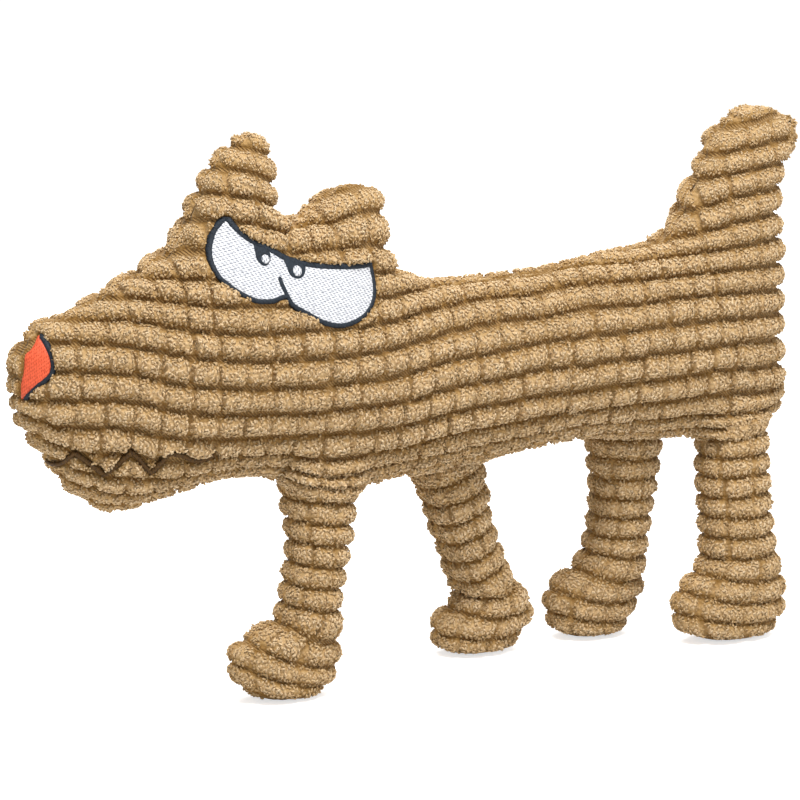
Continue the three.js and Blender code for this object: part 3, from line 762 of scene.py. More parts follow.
        # Draws of each lock: three for its swirl, then its direction, its root, its size and its tone
        random = np.stack([lattice_value(cell[picked], seed + turn) for turn in range(7)], 1)
        normal, share, scale = normals[picked], share[picked], scale[picked]
        swirl = (random[:, :3] - 0.5) * 2.1 - (normal - smooth[picked]) * 0.25
        swirl[:, 2] += np.where(random[:, 3] < 0.5, -0.8, 0.8)
        swirl -= normal * (swirl * normal).sum(1)[:, None]
        lean = swirl / np.linalg.norm(swirl, axis=1)[:, None]
        root = places[picked] + (random[:, 4:5] - 0.5) * lean * self.lock_gap * 0.7
        size = (0.65 + 0.35 * np.clip(share, 0, 1)) * (0.75 + 0.45 * random[:, 5]) * scale
        length = (self.lock_length * size)[:, None]
        girth = (self.lock_girth * (0.8 + 0.2 * size))[:, None]
        ball, faces = small_ball()
        up = ball[:, 2] + 0.5
        turn = up * math.pi * self.lock_turn
        tall, wide = self.lock_shape
        tangent = np.stack([np.cos(turn) * tall, np.sin(turn) * wide], 1)
        tangent /= np.linalg.norm(tangent, axis=1)[:, None]
        rise = length * (np.sin(turn) * tall - self.lock_depth) - girth * (ball[:, 0] * tangent[:, 1])
        reach = length * ((1 - np.cos(turn)) * wide) + girth * (ball[:, 0] * tangent[:, 0])
        spots = root[:, None]
        for way, far in ((normal, rise), (lean, reach), (np.cross(normal, lean), girth * ball[:, 1])):
            spots = spots + way[:, None] * far[..., None]
        # Painted shade: each lock darkens towards its root and where the pile stands low, over a random tone
        # of its own
        tone_with_painted_shade = (0.6 + 0.3 * up) * (0.93 + 0.14 * random[:, 6:])
        tone_with_painted_shade = tone_with_painted_shade * (0.5 + 0.5 * np.clip(share / scale, 0, 1))[:, None]
        locks = many_forms("locks", spots * MM, faces)
        write_values(locks, "pile", tone_with_painted_shade.ravel())
        join_mesh(mesh, locks)


# Torso


# The seam line seen square from the left, from the nose along the belly to the tail and back over the ears
OUTLINE = (
    (-176, 160.5), (-181.5, 155), (-185.5, 150), (-186, 144.5), (-186, 138.5), (-184.5, 132),
    (-183, 125.5), (-178, 116.5), (-171, 108.5), (-166, 99), (-159.5, 93), (-152, 88), (-145, 85),
    (-139, 85.5), (-132, 87), (-117.5, 90.8), (-102.5, 94.8), (-87.5, 95.4), (-72, 92.2), (-57, 86),
    (-39, 84.2), (-24.5, 85.5), (-13, 87.8), (3.5, 88), (22.5, 89.2), (41, 91.8), (56.5, 93.8),
    (73, 95.6), (97, 92.5), (121, 91.5), (137.5, 92), (157.5, 93), (169, 95), (175, 99.5),
    (176.5, 105.5), (176, 112), (173.4, 126.5), (173, 139.5), (172.8, 150.5), (172.5, 161.5),
    (172.2, 176), (171.5, 186.5), (173.2, 202), (179, 211.5), (182, 218), (180.5, 223.5), (175, 227.5),
    (167.5, 229), (160, 229), (152.5, 227), (146.4, 223.2), (142, 218.4), (138.2, 212.4), (135, 202.6),
    (128.7, 193), (126.9, 184.6), (119.6, 174.6), (104.5, 171), (88.5, 170), (72.5, 168), (57, 165),
    (37, 164), (17.5, 164.5), (2, 165), (-10, 169.5), (-18.5, 174), (-20.8, 185), (-21.4, 197),
    (-20.6, 204.8), (-25, 208.8), (-33.5, 210), (-41.5, 208), (-47.4, 203), (-54.4, 196.9),
    (-60.5, 194.5), (-68.4, 195.2), (-72.4, 205), (-72, 215.5), (-72.2, 222.8), (-74, 229),
    (-79.4, 233), (-84, 233), (-91, 227.5), (-97.5, 221.5), (-100.8, 214), (-104.8, 208),
    (-107.6, 202.5), (-111, 193), (-118.6, 185.9), (-127.4, 180.1), (-142.5, 173.8), (-157, 165.6),
    (-169, 163),
)  # fmt: skip
# The groove between two wales halfway up the body
MIDDLE_GROOVE = (
    (-192, 133.5), (-180, 133.8), (-169, 133.6), (-146, 131.9), (-131, 128.6), (-116, 125.6), (-94, 123.4),
    (-72, 122.6), (-49, 122.2), (-25, 122.4), (-13, 124.2), (0, 126.2), (23, 127.8), (53, 129.2),
    (82, 130.6), (117, 131.5), (146, 131.2), (170, 130), (190, 129),
)  # fmt: skip


@dataclass
class StuffedPanel:
    """Two flat panels sewn round their edge and stuffed: how far the filling pushes them out.

    Fullness compares them with a soap film. Gather is the extra cloth at the lower seam, as a share, and
    spread is how many lattice columns on either side share their stretch of cloth.
    """

    loop: np.ndarray
    lattice: float = 2.0
    fullness: float = 0.58
    gather: float = 0.7
    spread: int = 4
    rounds: int = 2600
    xs: np.ndarray = field(init=False)
    zs: np.ndarray = field(init=False)
    depth: np.ndarray = field(init=False)
    within: np.ndarray = field(init=False)

    def __post_init__(self) -> None:
        """Works out the swelling on a lattice."""
        low, high = self.loop.min(0) - self.lattice * 2, self.loop.max(0) + self.lattice * 2
        self.xs = np.arange(low[0], high[0], self.lattice)
        self.zs = np.arange(low[1], high[1], self.lattice)
        spots = np.stack(np.meshgrid(self.xs, self.zs, indexing="ij"), -1).reshape(-1, 2)
        shape = (len(self.xs), len(self.zs))
        self.within = inside(spots, self.loop).reshape(shape)
        gap = distance_to(spots, self.loop, True)[0].reshape(shape)
        swell = np.where(self.within, gap * 20, 0.0)
        for _ in range(self.rounds):
            around = swell[:-2, 1:-1] + swell[2:, 1:-1] + swell[1:-1, :-2] + swell[1:-1, 2:]
            level = (around + self.lattice**2) / 4
            swell[1:-1, 1:-1] = np.where(self.within[1:-1, 1:-1], level, 0.0)
        ratio = np.where(self.within, swell / np.maximum(gap, 0.6), 0.0)
        for _ in range(3):
            ratio = self.blurred(ratio)
        even = np.where(self.within, ratio * gap, 0.0)
        rim = step_up(gap, 2.0, 9.0)
        settled = even * (1 - rim) + swell * rim
        self.depth = self.fullness * np.sqrt(np.maximum(2 * settled, 0))

    def depth_at(self, flat: np.ndarray) -> np.ndarray:
        """Reads the swelling at plane points, with none at the edge.

        Args:
            flat: Rows of plane coordinates.

        Returns:
            The depth of one panel at each.
        """
        place = (flat - (self.xs[0], self.zs[0])) / self.lattice
        low = np.clip(np.floor(place).astype(int), 0, np.array(self.depth.shape) - 2)
        share = place - low
        column, row = low.T
        near = self.depth[column, row] * (1 - share[:, 1]) + self.depth[column, row + 1] * share[:, 1]
        far = self.depth[column + 1, row] * (1 - share[:, 1]) + self.depth[column + 1, row + 1] * share[:, 1]
        gap = distance_to(flat, self.loop, True)[0]
        return np.where(gap < 1e-3, 0, near * (1 - share[:, 0]) + far * share[:, 0])

    def blurred(self, values: np.ndarray) -> np.ndarray:
        """Averages the lattice's values with their neighbours within the outline."""
        weight = self.within.astype(float)
        total, share = np.zeros_like(values), np.zeros_like(values)
        for shift in np.ndindex(3, 3):
            shift = np.array(shift) - 1
            total += np.roll(values * weight, shift, (0, 1))
            share += np.roll(weight, shift, (0, 1))
        return np.where(self.within, total / np.maximum(share, 1), 0)

    def cloth_height(self, middle: np.ndarray) -> np.ndarray:
        """Measures along the cloth, upwards from a middle line.

        Args:
            middle: Height of the line at each lattice column.

        Returns:
            The length over the swollen panel at each lattice point.
        """
        rise = np.diff(self.depth, axis=1)
        across = np.gradient(self.depth, axis=0)[:, :-1]
        extra = np.sqrt(self.lattice**2 + np.minimum(np.abs(rise), 14) ** 2) - self.lattice
        extra = extra * (0.1 + rise**2) / (0.1 + rise**2 + across**2)
        flat = np.ones(2 * self.spread + 1) / (2 * self.spread + 1)
        for _ in range(2):
            extra = np.stack([np.convolve(column, flat, "same") for column in extra.T], 1)
        low = self.zs[self.within.argmax(1)][:, None]
        run = (self.lattice + extra) * (1 + self.gather * (1 - step_up(self.zs[None, :-1] - low, 4, 16)))
        up = np.concatenate([np.zeros((len(self.xs), 1)), np.cumsum(run, 1)], 1)
        zero = np.array([np.interp(level, self.zs, row) for level, row in zip(middle, up)])
        return up - zero[:, None]


@dataclass(frozen=True)
class TurnedCloth:
    """A stretch of cloth, on an ear or the tail, whose wales are tilted by a slope and moved by an offset.

    It sets in over its climb above the bottom, and over its blend to either side of its two ends.
    """

    left: float
    right: float
    bottom: float
    slope: float
    offset: float
    climb: float = 16.0
    blend: float = 4.0

    def shift(self, places: np.ndarray) -> np.ndarray:
        """Works out how far the wales are moved at rows of space points."""
        middle = (self.left + self.right) / 2
        share = step_up(places[:, 2], self.bottom, self.bottom + self.climb)
        share = share * step_up(places[:, 0], self.left - self.blend, self.left + self.blend)
        share = share * (1 - step_up(places[:, 0], self.right - self.blend, self.right + self.blend))
        return share * (self.slope * (places[:, 0] - middle) + self.offset)


@dataclass
class Torso:
    """Head, ears, body and tail: one outline in two side panels, swollen by the filling.

    The seam line lies inset within the outline. Pressure and cap are the simulation's, and the cap is the
    farthest that it may move the cloth. The belly spreads to over_leg from the middle on top of a leg.
    """

    cloth: WaleCloth
    inset: float = -0.1
    voxel: float = 3.2
    levels: int = 2
    frames: int = 20
    pressure: float = 60.0
    cap: float = 3.0
    first_wale: int = 60
    over_leg: float = 27.0
    leg_reach: float = 15.0
    leg_drop: float = 3.5
    patches: tuple[TurnedCloth, ...] = (
        TurnedCloth(-125, -68, 182, 0.14, -2.2),
        TurnedCloth(-60, -15, 182, -0.03, -3.4),
        TurnedCloth(95, 230, 148, -0.17, 0.0, 40, 25),
        TurnedCloth(90, 230, 196, 0.0, 2.0, 26),
    )
    panel: StuffedPanel = field(init=False)

    def __post_init__(self) -> None:
        """Swells the panels."""
        loop = rounded_loop(np.array(OUTLINE), 4)
        ahead = np.roll(loop, -1, 0) - np.roll(loop, 1, 0)
        inward = np.stack([ahead[:, 1], -ahead[:, 0]], 1) / np.hypot(*ahead.T)[:, None]
        if not inside(loop[:1] + inward[:1], loop)[0]:
            inward = -inward
        self.panel = StuffedPanel(loop + inward * self.inset)

    def middle(self, x: np.ndarray) -> np.ndarray:
        """Height of the groove that runs along the middle of the cloth."""
        line = smooth_line(np.array(MIDDLE_GROOVE, float), 6)
        return np.interp(x, line[:, 0], line[:, 1])

    def pillow(self) -> bpy.types.Object:
        """Builds the smooth closed torso from even squares, with its cloth coordinates."""
        panel = self.panel
        form = flat_grid(panel.loop, panel.lattice)
        flat = flat_of(form)
        move_to(form, np.stack([flat[:, 0], -panel.depth_at(flat), flat[:, 1]], 1) * MM)
        bmesh.ops.mirror(form, geom=form.verts[:] + form.edges[:] + form.faces[:], axis="Y")
        bmesh.ops.remove_doubles(form, verts=form.verts[:], dist=0.02 * MM)
        face_outward(form)
        made = remeshed(object_of("torso_pillow", form), self.voxel * MM)
        self.mark(made.data)
        self.settle(made)
        return made

    def settle(self, pillow: bpy.types.Object) -> None:
        """Lets the filling press the cloth out for a moment, with the seam held."""
        before = places_of(pillow.data)
        hold = pillow.vertex_groups.new(name="seam")
        weights = 1 - step_up(np.abs(before[:, 1]) / MM, 1.5, 7)
        for index in np.flatnonzero(weights > 0):
            hold.add([int(index)], float(weights[index]), "REPLACE")
        press = pillow.modifiers.new("press", "CLOTH")
        press.settings.quality = 3
        press.settings.use_pressure = True
        press.settings.uniform_pressure_force = self.pressure
        press.settings.effector_weights.gravity = 0
        press.settings.vertex_group_mass = hold.name
        press.point_cache.frame_start, press.point_cache.frame_end = 1, self.frames
        for frame in range(1, self.frames + 1):
            bpy.context.scene.frame_set(frame)
        baked(pillow)
        move = places_of(pillow.data) - before
        length = np.maximum(np.linalg.norm(move, axis=1), 1e-9)
        move *= (np.minimum(length, self.cap * MM) / length)[:, None]
        set_places(pillow.data, before + move)
        bpy.context.scene.frame_set(1)

    def part_for_legs(self, pillow: bpy.types.Object, hips: list[tuple[float, int]]) -> None:
        """Spreads the belly over the tops of the legs that are sewn into it.

        Args:
            pillow: The smooth torso.
            hips: Each leg's place along the body and its side.
        """
        places = places_of(pillow.data) / MM
        for hip, side in hips:
            near = np.exp(-(((places[:, 0] - hip) / self.leg_reach) ** 4))
            low = 1 - step_up(places[:, 2], 88, 116)
            share = near * low * step_up(places[:, 1] * side, 0, 5)
            wide = np.maximum(self.over_leg - np.abs(places[:, 1]), 0)
            places[:, 1] += side * share * wide * 0.75
            places[:, 2] -= share * self.leg_drop
        set_places(pillow.data, places * MM)

    def mark(self, mesh: bpy.types.Mesh) -> None:
        """Stores the cloth coordinates of a smooth torso mesh."""
        panel = self.panel
        places = places_of(mesh) / MM
        length = panel.cloth_height(self.middle(panel.xs))
        column = np.clip((places[:, 0] - panel.xs[0]) / panel.lattice, 0, len(panel.xs) - 2)
        low = np.floor(column).astype(int)
        share = (column - low)[:, None]
        depth = panel.depth[low] * (1 - share) + panel.depth[low + 1] * share
        along = length[low] * (1 - share) + length[low + 1] * share
        # The nearest stretch of the panel's section tells how far along the cloth a point lies
        gap = (panel.zs[None] - places[:, 2:]) ** 2 + (depth - np.abs(places[:, 1:2])) ** 2
        best = gap.argmin(1)
        rows = np.arange(len(places))
        spot = np.stack([places[:, 2], np.abs(places[:, 1])], 1)
        near = np.stack([panel.zs[best], depth[rows, best]], 1)
        value, least = along[rows, best], np.full(len(places), np.inf)
        for step in (-1, 1):
            other = np.clip(best + step, 0, len(panel.zs) - 1)
            span = np.stack([panel.zs[other], depth[rows, other]], 1) - near
            reach = ((spot - near) * span).sum(1) / np.maximum((span**2).sum(1), 1e-9)
            reach = np.clip(reach, 0, 1)
            miss = np.hypot(*(spot - near - reach[:, None] * span).T)
            between = along[rows, best] * (1 - reach) + along[rows, other] * reach
            value = np.where(miss < least, between, value)
            least = np.minimum(miss, least)
        for patch in self.patches:
            value = value + patch.shift(places)
        write_values(mesh, "wale", value / self.cloth.pitch + self.first_wale)
        write_values(mesh, "along", places[:, 0])

    def side(self, pillow: bpy.types.Object, name: str, left: bool) -> bpy.types.Object:
        """Cuts one side off the pillow and refines it."""
        form = bmesh.new()
        form.from_mesh(pillow.data)
        bmesh.ops.bisect_plane(
            form,
            geom=form.verts[:] + form.edges[:] + form.faces[:],
            dist=0.05 * MM,
            plane_co=(0, 0, 0),
            plane_no=(0, 1 if left else -1, 0),
            clear_outer=True,
        )
        made = refined(object_of(name, form), self.levels)
        places = places_of(made.data)
        write_values(made.data, "rim", np.abs(places[:, 1]) / MM)
        return made

    def close(self, target: bpy.types.Object) -> None:
        """Closes a side along the seam plane."""
        form = bmesh.new()
        form.from_mesh(target.data)
        rims = [e for e in form.edges if e.is_boundary]
        bmesh.ops.triangle_fill(form, use_beauty=False, edges=rims, normal=(0, 1, 0))
        form.to_mesh(target.data)
        form.free()


# Embroidery


# Where rays start, outside all cloth, and how deep a piece reaches under its edge, in millimetres
FAR = 400.0
THREAD_DEPTH = 0.7


@dataclass(frozen=True)
class Facing:
    """The upright plane that an embroidery is drawn in, turned towards the nose by an angle."""

    degrees: float

    def directions(self) -> tuple[np.ndarray, np.ndarray]:
        """The direction along the plane to the right, and the one in which it faces."""
        across, out = math.cos(math.radians(self.degrees)), math.sin(math.radians(self.degrees))
        return np.array([across, -out, 0.0]), np.array([-out, -across, 0.0])

    def flat(self, places: np.ndarray) -> np.ndarray:
        """Looks square at the plane: rows of space points to rows along it and up."""
        right = self.directions()[0]
        return np.stack([places[:, 0] * right[0] + places[:, 1] * right[1], places[:, 2]], 1)

    def drape(self, base: BVHTree, flat: np.ndarray, lift: np.ndarray) -> np.ndarray:
        """Lays plane points on the base.

        Args:
            base: The smooth torso, in metres.
            flat: Rows along the plane and up, in millimetres.
            lift: Height above the base at each.

        Returns:
            Rows of space points in metres.
        """
        right, out = self.directions()
        places, facing = np.zeros((len(flat), 3)), np.tile(out, (len(flat), 1))
        missed = []
        for i, (u, z) in enumerate(flat):
            start = (right * u + out * FAR + np.array([0, 0, z])) * MM
            hit, normal, _, _ = base.ray_cast(Vector(start), Vector(-out))
            if hit is None:
                missed.append(i)
            else:
                places[i], facing[i] = hit, normal
        found = np.setdiff1d(np.arange(len(flat)), missed)
        for i in missed:
            near = found[np.hypot(*(flat[found] - flat[i]).T).argmin()]
            spot = right * flat[i, 0] * MM + out * (places[near] @ out) + np.array([0, 0, flat[i, 1] * MM])
            hit, normal, _, _ = base.find_nearest(Vector(spot))
            places[i], facing[i] = hit, normal
        return places + facing * lift[:, None] * MM


def dome(share: np.ndarray, least: float = 0.0) -> np.ndarray:
    """Rises like a quarter circle, from least at a share of 0 to 1 at a share of 1."""
    return np.sqrt(np.clip(1 - (1 - np.minimum(share, 1)) ** 2, least, 1))


@dataclass(frozen=True)
class Satin:
    """A piece of satin embroidery, draped over the cloth with its edge at a lift above it.

    Its points are its outline, or the line that it follows, in millimetres in the plane that it faces.
    """

    name: str
    slot: Slot
    points: tuple[tuple[float, float], ...]
    facing: Facing
    lift: float

    def laid(
        self,
        base: BVHTree,
        form: bmesh.types.BMesh,
        corners: tuple[np.ndarray, np.ndarray],
        across: np.ndarray,
        along: np.ndarray,
    ) -> bpy.types.Object:
        """Drapes a flat form, and gives it its thickness and its stitch coordinates.

        Args:
            base: The smooth torso, in metres.
            form: The flat form.
            corners: Plane coordinates of its corners, and their height above its edge.
            across: Place across the threads at each corner, in millimetres.
            along: Place along the threads.

        Returns:
            The closed object.
        """
        flat, domed = corners
        move_to(form, self.facing.drape(base, flat, self.lift + domed))
        layers = [form.verts.layers.float.new(name) for name in ("across", "along")]
        for vertex, *values in zip(form.verts, across, along):
            for layer, value in zip(layers, values):
                vertex[layer] = value
        back = bmesh.ops.extrude_face_region(form, geom=form.faces[:], use_keep_orig=True)["geom"]
        inward = Vector(-THREAD_DEPTH * MM * self.facing.directions()[1])
        bmesh.ops.translate(form, verts=[v for v in back if isinstance(v, bmesh.types.BMVert)], vec=inward)
        face_outward(form)
        return object_of(self.name, form)


@dataclass(frozen=True)
class SatinFill(Satin):
    """A field of satin stitches within a closed outline, with its threads at a slant in degrees."""

    slant: float
    thick: float = 0.7
    spacing: float = 0.5
    edge: float = 1.1

    def build(self, base: BVHTree) -> bpy.types.Object:
        """Builds the field on the base."""
        loop = rounded_loop(np.array(self.points, float), 6)
        form = flat_grid(loop, self.spacing)
        flat = flat_of(form)
        domed = self.thick * dome(distance_to(flat, loop, True)[0] / self.edge)
        turn = math.radians(self.slant)
        across = flat[:, 1] * math.cos(turn) - flat[:, 0] * math.sin(turn)
        along = flat[:, 0] * math.cos(turn) + flat[:, 1] * math.sin(turn)
        return self.laid(base, form, (flat, domed), across, along)


@dataclass(frozen=True)
class SatinLine(Satin):
    """A narrow column of satin stitches along a line."""

    width: float
    thick: float = 0.8
    ragged: float = 0.12
    spacing: float = 0.35
    strips: int = 8

    def build(self, base: BVHTree) -> bpy.types.Object:
        """Builds the column on the base."""
        line = smooth_line(np.array(self.points, float), 10)
        length = np.concatenate([[0], np.cumsum(np.hypot(*np.diff(line, axis=0).T))])
        count = max(int(length[-1] / self.spacing), 8)
        even = np.linspace(0, length[-1], count)
        line = np.stack([np.interp(even, length, line[:, i]) for i in (0, 1)], 1)
        ahead = np.gradient(line, axis=0)
        side = np.stack([-ahead[:, 1], ahead[:, 0]], 1) / np.hypot(*ahead.T)[:, None]
        form = bmesh.new()
        bmesh.ops.create_grid(form, x_segments=count - 1, y_segments=self.strips, size=1)
        x, y = flat_of(form).T
        place = np.rint((x + 1) / 2 * (count - 1)).astype(int)
        reach = np.minimum(even[place], length[-1] - even[place])
        wide = self.width / 2 * dome(reach / (self.width / 2), 0.02)
        rough = lattice_value(np.stack([place, np.sign(y).astype(int)], 1), 5) - 0.5
        offset = y * (wide + self.ragged * rough * 2 * np.abs(y))
        flat = line[place] + side[place] * offset[:, None]
        domed = self.thick * np.sqrt(np.clip(1 - y**2, 0, 1))
        return self.laid(base, form, (flat, domed), even[place], y * self.width / 2)


class Face:
    """The embroidered eyes, nose and mouth on the left side."""

    def works(self) -> list[tuple[str, Satin]]:
        """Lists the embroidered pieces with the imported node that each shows."""
        side, nose, mouth = Facing(0), Facing(45), Facing(20)
        dark, white = Slot.DARK_THREAD, Slot.WHITE_THREAD
        orange, brown = Slot.ORANGE_THREAD, Slot.BROWN_THREAD
        return [
            ("eye_white", SatinFill("eyes_white_satin", white, EYE_OUTLINE, side, 0.9, -17)),
            ("eye_outline", SatinFill("front_pupil_satin", dark, FRONT_PUPIL, side, 1.3, 65)),
            ("eye_outline", SatinFill("rear_pupil_satin", dark, REAR_PUPIL, side, 1.3, 65)),
            ("eye_outline", SatinLine("brow_line_satin", dark, BROW, side, 1.3, 2.6)),
            ("eye_outline", SatinLine("front_lid_satin", dark, FRONT_LID, side, 1.2, 2.2)),
            ("eye_outline", SatinLine("rear_lid_satin", dark, REAR_LID, side, 1.2, 2.2)),
            ("front_catchlight", SatinFill("front_catchlight_satin", white, FRONT_LIGHT, side, 1.9, 80)),
            ("rear_catchlight", SatinFill("rear_catchlight_satin", white, REAR_LIGHT, side, 1.9, 80)),
            ("nose_patch", SatinFill("nose_satin", orange, NOSE, nose, 0.7, 70)),
            ("nose_outline", SatinLine("nose_line_satin", dark, NOSE_LINE, nose, 1.1, 2.0)),
            ("mouth_stitch", SatinLine("mouth_zigzag_satin", brown, MOUTH, mouth, 1.9, 2.1, 0.8, 0.3)),
        ]

    def kept_pile(self, places: np.ndarray) -> np.ndarray:
        """Works out how much pile stands around the embroidery.

        Args:
            places: Rows of points on the left side, in millimetres.

        Returns:
            A share per point: little under the thread, all of it further off.
        """
        share = np.ones(len(places))
        for points, closed, facing, beside_seam, left, edges in (
            (EYE_OUTLINE, True, Facing(0), 3, 0.2, (0.3, 1.9)),
            (NOSE, True, Facing(45), 3, 0.2, (0.3, 1.9)),
            (MOUTH, False, Facing(20), 0, 0.25, (0.9, 2.6)),
        ):
            flat = facing.flat(places)
            line = (rounded_loop if closed else smooth_line)(np.array(points, float), 4)
            near = np.all((flat > line.min(0) - 5) & (flat < line.max(0) + 5), 1)
            near &= places[:, 1] < -beside_seam
            gap = distance_to(flat[near], line, closed)[0]
            if closed:
                gap = np.where(inside(flat[near], line), -gap, gap)
            share[near] = np.minimum(share[near], left + (1 - left) * step_up(gap, *edges))
        return share


# Lines and outlines of the face, each in the plane that its piece faces
BROW = (
    (-97.3, 202.0), (-95.1, 198.4), (-92.7, 195.5), (-90.1, 193.2), (-86.9, 191.1), (-83.5, 189.5),
    (-80.2, 187.6), (-76.8, 185.4), (-73.4, 183.7), (-69.8, 182.6), (-65.3, 181.3), (-59.9, 180.3),
    (-53.9, 179.6), (-47.8, 179.1), (-42.0, 178.8), (-37.9, 178.8), (-34.6, 179.0),
)  # fmt: skip
FRONT_LID = (
    (-97.3, 202.0), (-100.0, 199.7), (-102.5, 196.7), (-104.2, 193.2), (-105.5, 189.4), (-106.0, 185.6),
    (-105.5, 182.5), (-104.1, 178.9), (-101.3, 175.9), (-98.0, 173.2), (-94.4, 171.0), (-90.7, 169.3),
    (-86.8, 168.7), (-82.8, 168.8), (-79.5, 169.7), (-77.2, 170.1),
)  # fmt: skip
REAR_LID = (
    (-79.5, 177.8), (-78.8, 175.0), (-77.8, 172.2), (-76.4, 168.9), (-74.5, 166.1), (-71.0, 163.8),
    (-66.7, 161.3), (-62.2, 158.7), (-57.7, 157.1), (-53.0, 156.4), (-48.1, 157.0), (-43.6, 158.4),
    (-39.8, 160.8), (-36.9, 164.1), (-35.4, 168.0), (-34.9, 172.3), (-35.2, 176.3), (-35.2, 178.7),
)  # fmt: skip
EYE_OUTLINE = FRONT_LID[:-1] + REAR_LID[3:-1] + BROW[:0:-1]
FRONT_PUPIL = (
    (-88.7, 191.0), (-88.6, 187.9), (-88.4, 185.1), (-87.2, 183.3), (-85.4, 182.2), (-83.4, 182.8),
    (-82.1, 184.5), (-81.7, 186.6), (-82.7, 189.0), (-85.5, 190.3),
)  # fmt: skip
REAR_PUPIL = (
    (-76.4, 184.6), (-75.6, 181.0), (-74.8, 178.2), (-73.2, 176.7), (-71.0, 176.0), (-68.7, 176.7),
    (-66.9, 178.7), (-66.6, 180.8), (-68.4, 182.3), (-72.0, 183.4),
)  # fmt: skip
FRONT_LIGHT = (
    (-86.4, 184.9), (-85.9, 186.2), (-84.6, 186.7), (-83.3, 186.2), (-82.8, 184.9), (-83.3, 183.6),
    (-84.6, 183.1), (-85.9, 183.6),
)  # fmt: skip
REAR_LIGHT = (
    (-73.0, 179.2), (-72.5, 180.6), (-71.0, 181.2), (-69.5, 180.6), (-68.9, 179.2), (-69.5, 177.7),
    (-71.0, 177.1), (-72.5, 177.7),
)  # fmt: skip
NOSE = (
    (-122.0, 158.6), (-119.0, 155.9), (-116.9, 152.9), (-115.6, 149.4), (-115.3, 146.3), (-116.4, 143.3),
    (-119.5, 140.5), (-122.8, 137.7), (-126.1, 134.4), (-127.6, 134.0), (-127.5, 137.8), (-127.2, 141.1),
    (-126.3, 145.2), (-126.0, 148.8), (-125.9, 151.4), (-124.0, 153.4), (-122.9, 155.7),
)  # fmt: skip
NOSE_LINE = (
    (-121.1, 158.7), (-118.5, 156.1), (-116.5, 153.2), (-115.2, 150.2), (-114.7, 146.7), (-115.4, 144.1),
    (-117.7, 141.7), (-120.3, 139.5), (-123.1, 136.7), (-125.7, 134.0),
)  # fmt: skip
MOUTH = (
    (-161.5, 106.6), (-158.0, 106.7), (-155.6, 107.6), (-153.6, 109.8), (-151.6, 111.9), (-150.9, 112.3),
    (-150.1, 111.8), (-146.8, 109.0), (-143.2, 105.9), (-139.9, 103.1), (-139.1, 102.7), (-138.3, 103.2),
    (-135.2, 105.9), (-132.0, 109.0), (-129.5, 111.2), (-128.7, 111.5), (-128.0, 111.0), (-125.6, 108.4),
    (-123.1, 104.9), (-121.4, 103.0), (-120.6, 102.6), (-119.8, 103.0), (-117.6, 105.3), (-115.2, 108.0),
    (-113.4, 109.5), (-112.3, 109.7), (-111.0, 109.5), (-107.4, 108.2), (-103.6, 106.1), (-101.2, 105.4),
    (-98.8, 105.9), (-96.6, 106.6), (-94.0, 107.4),
)  # fmt: skip


# Legs


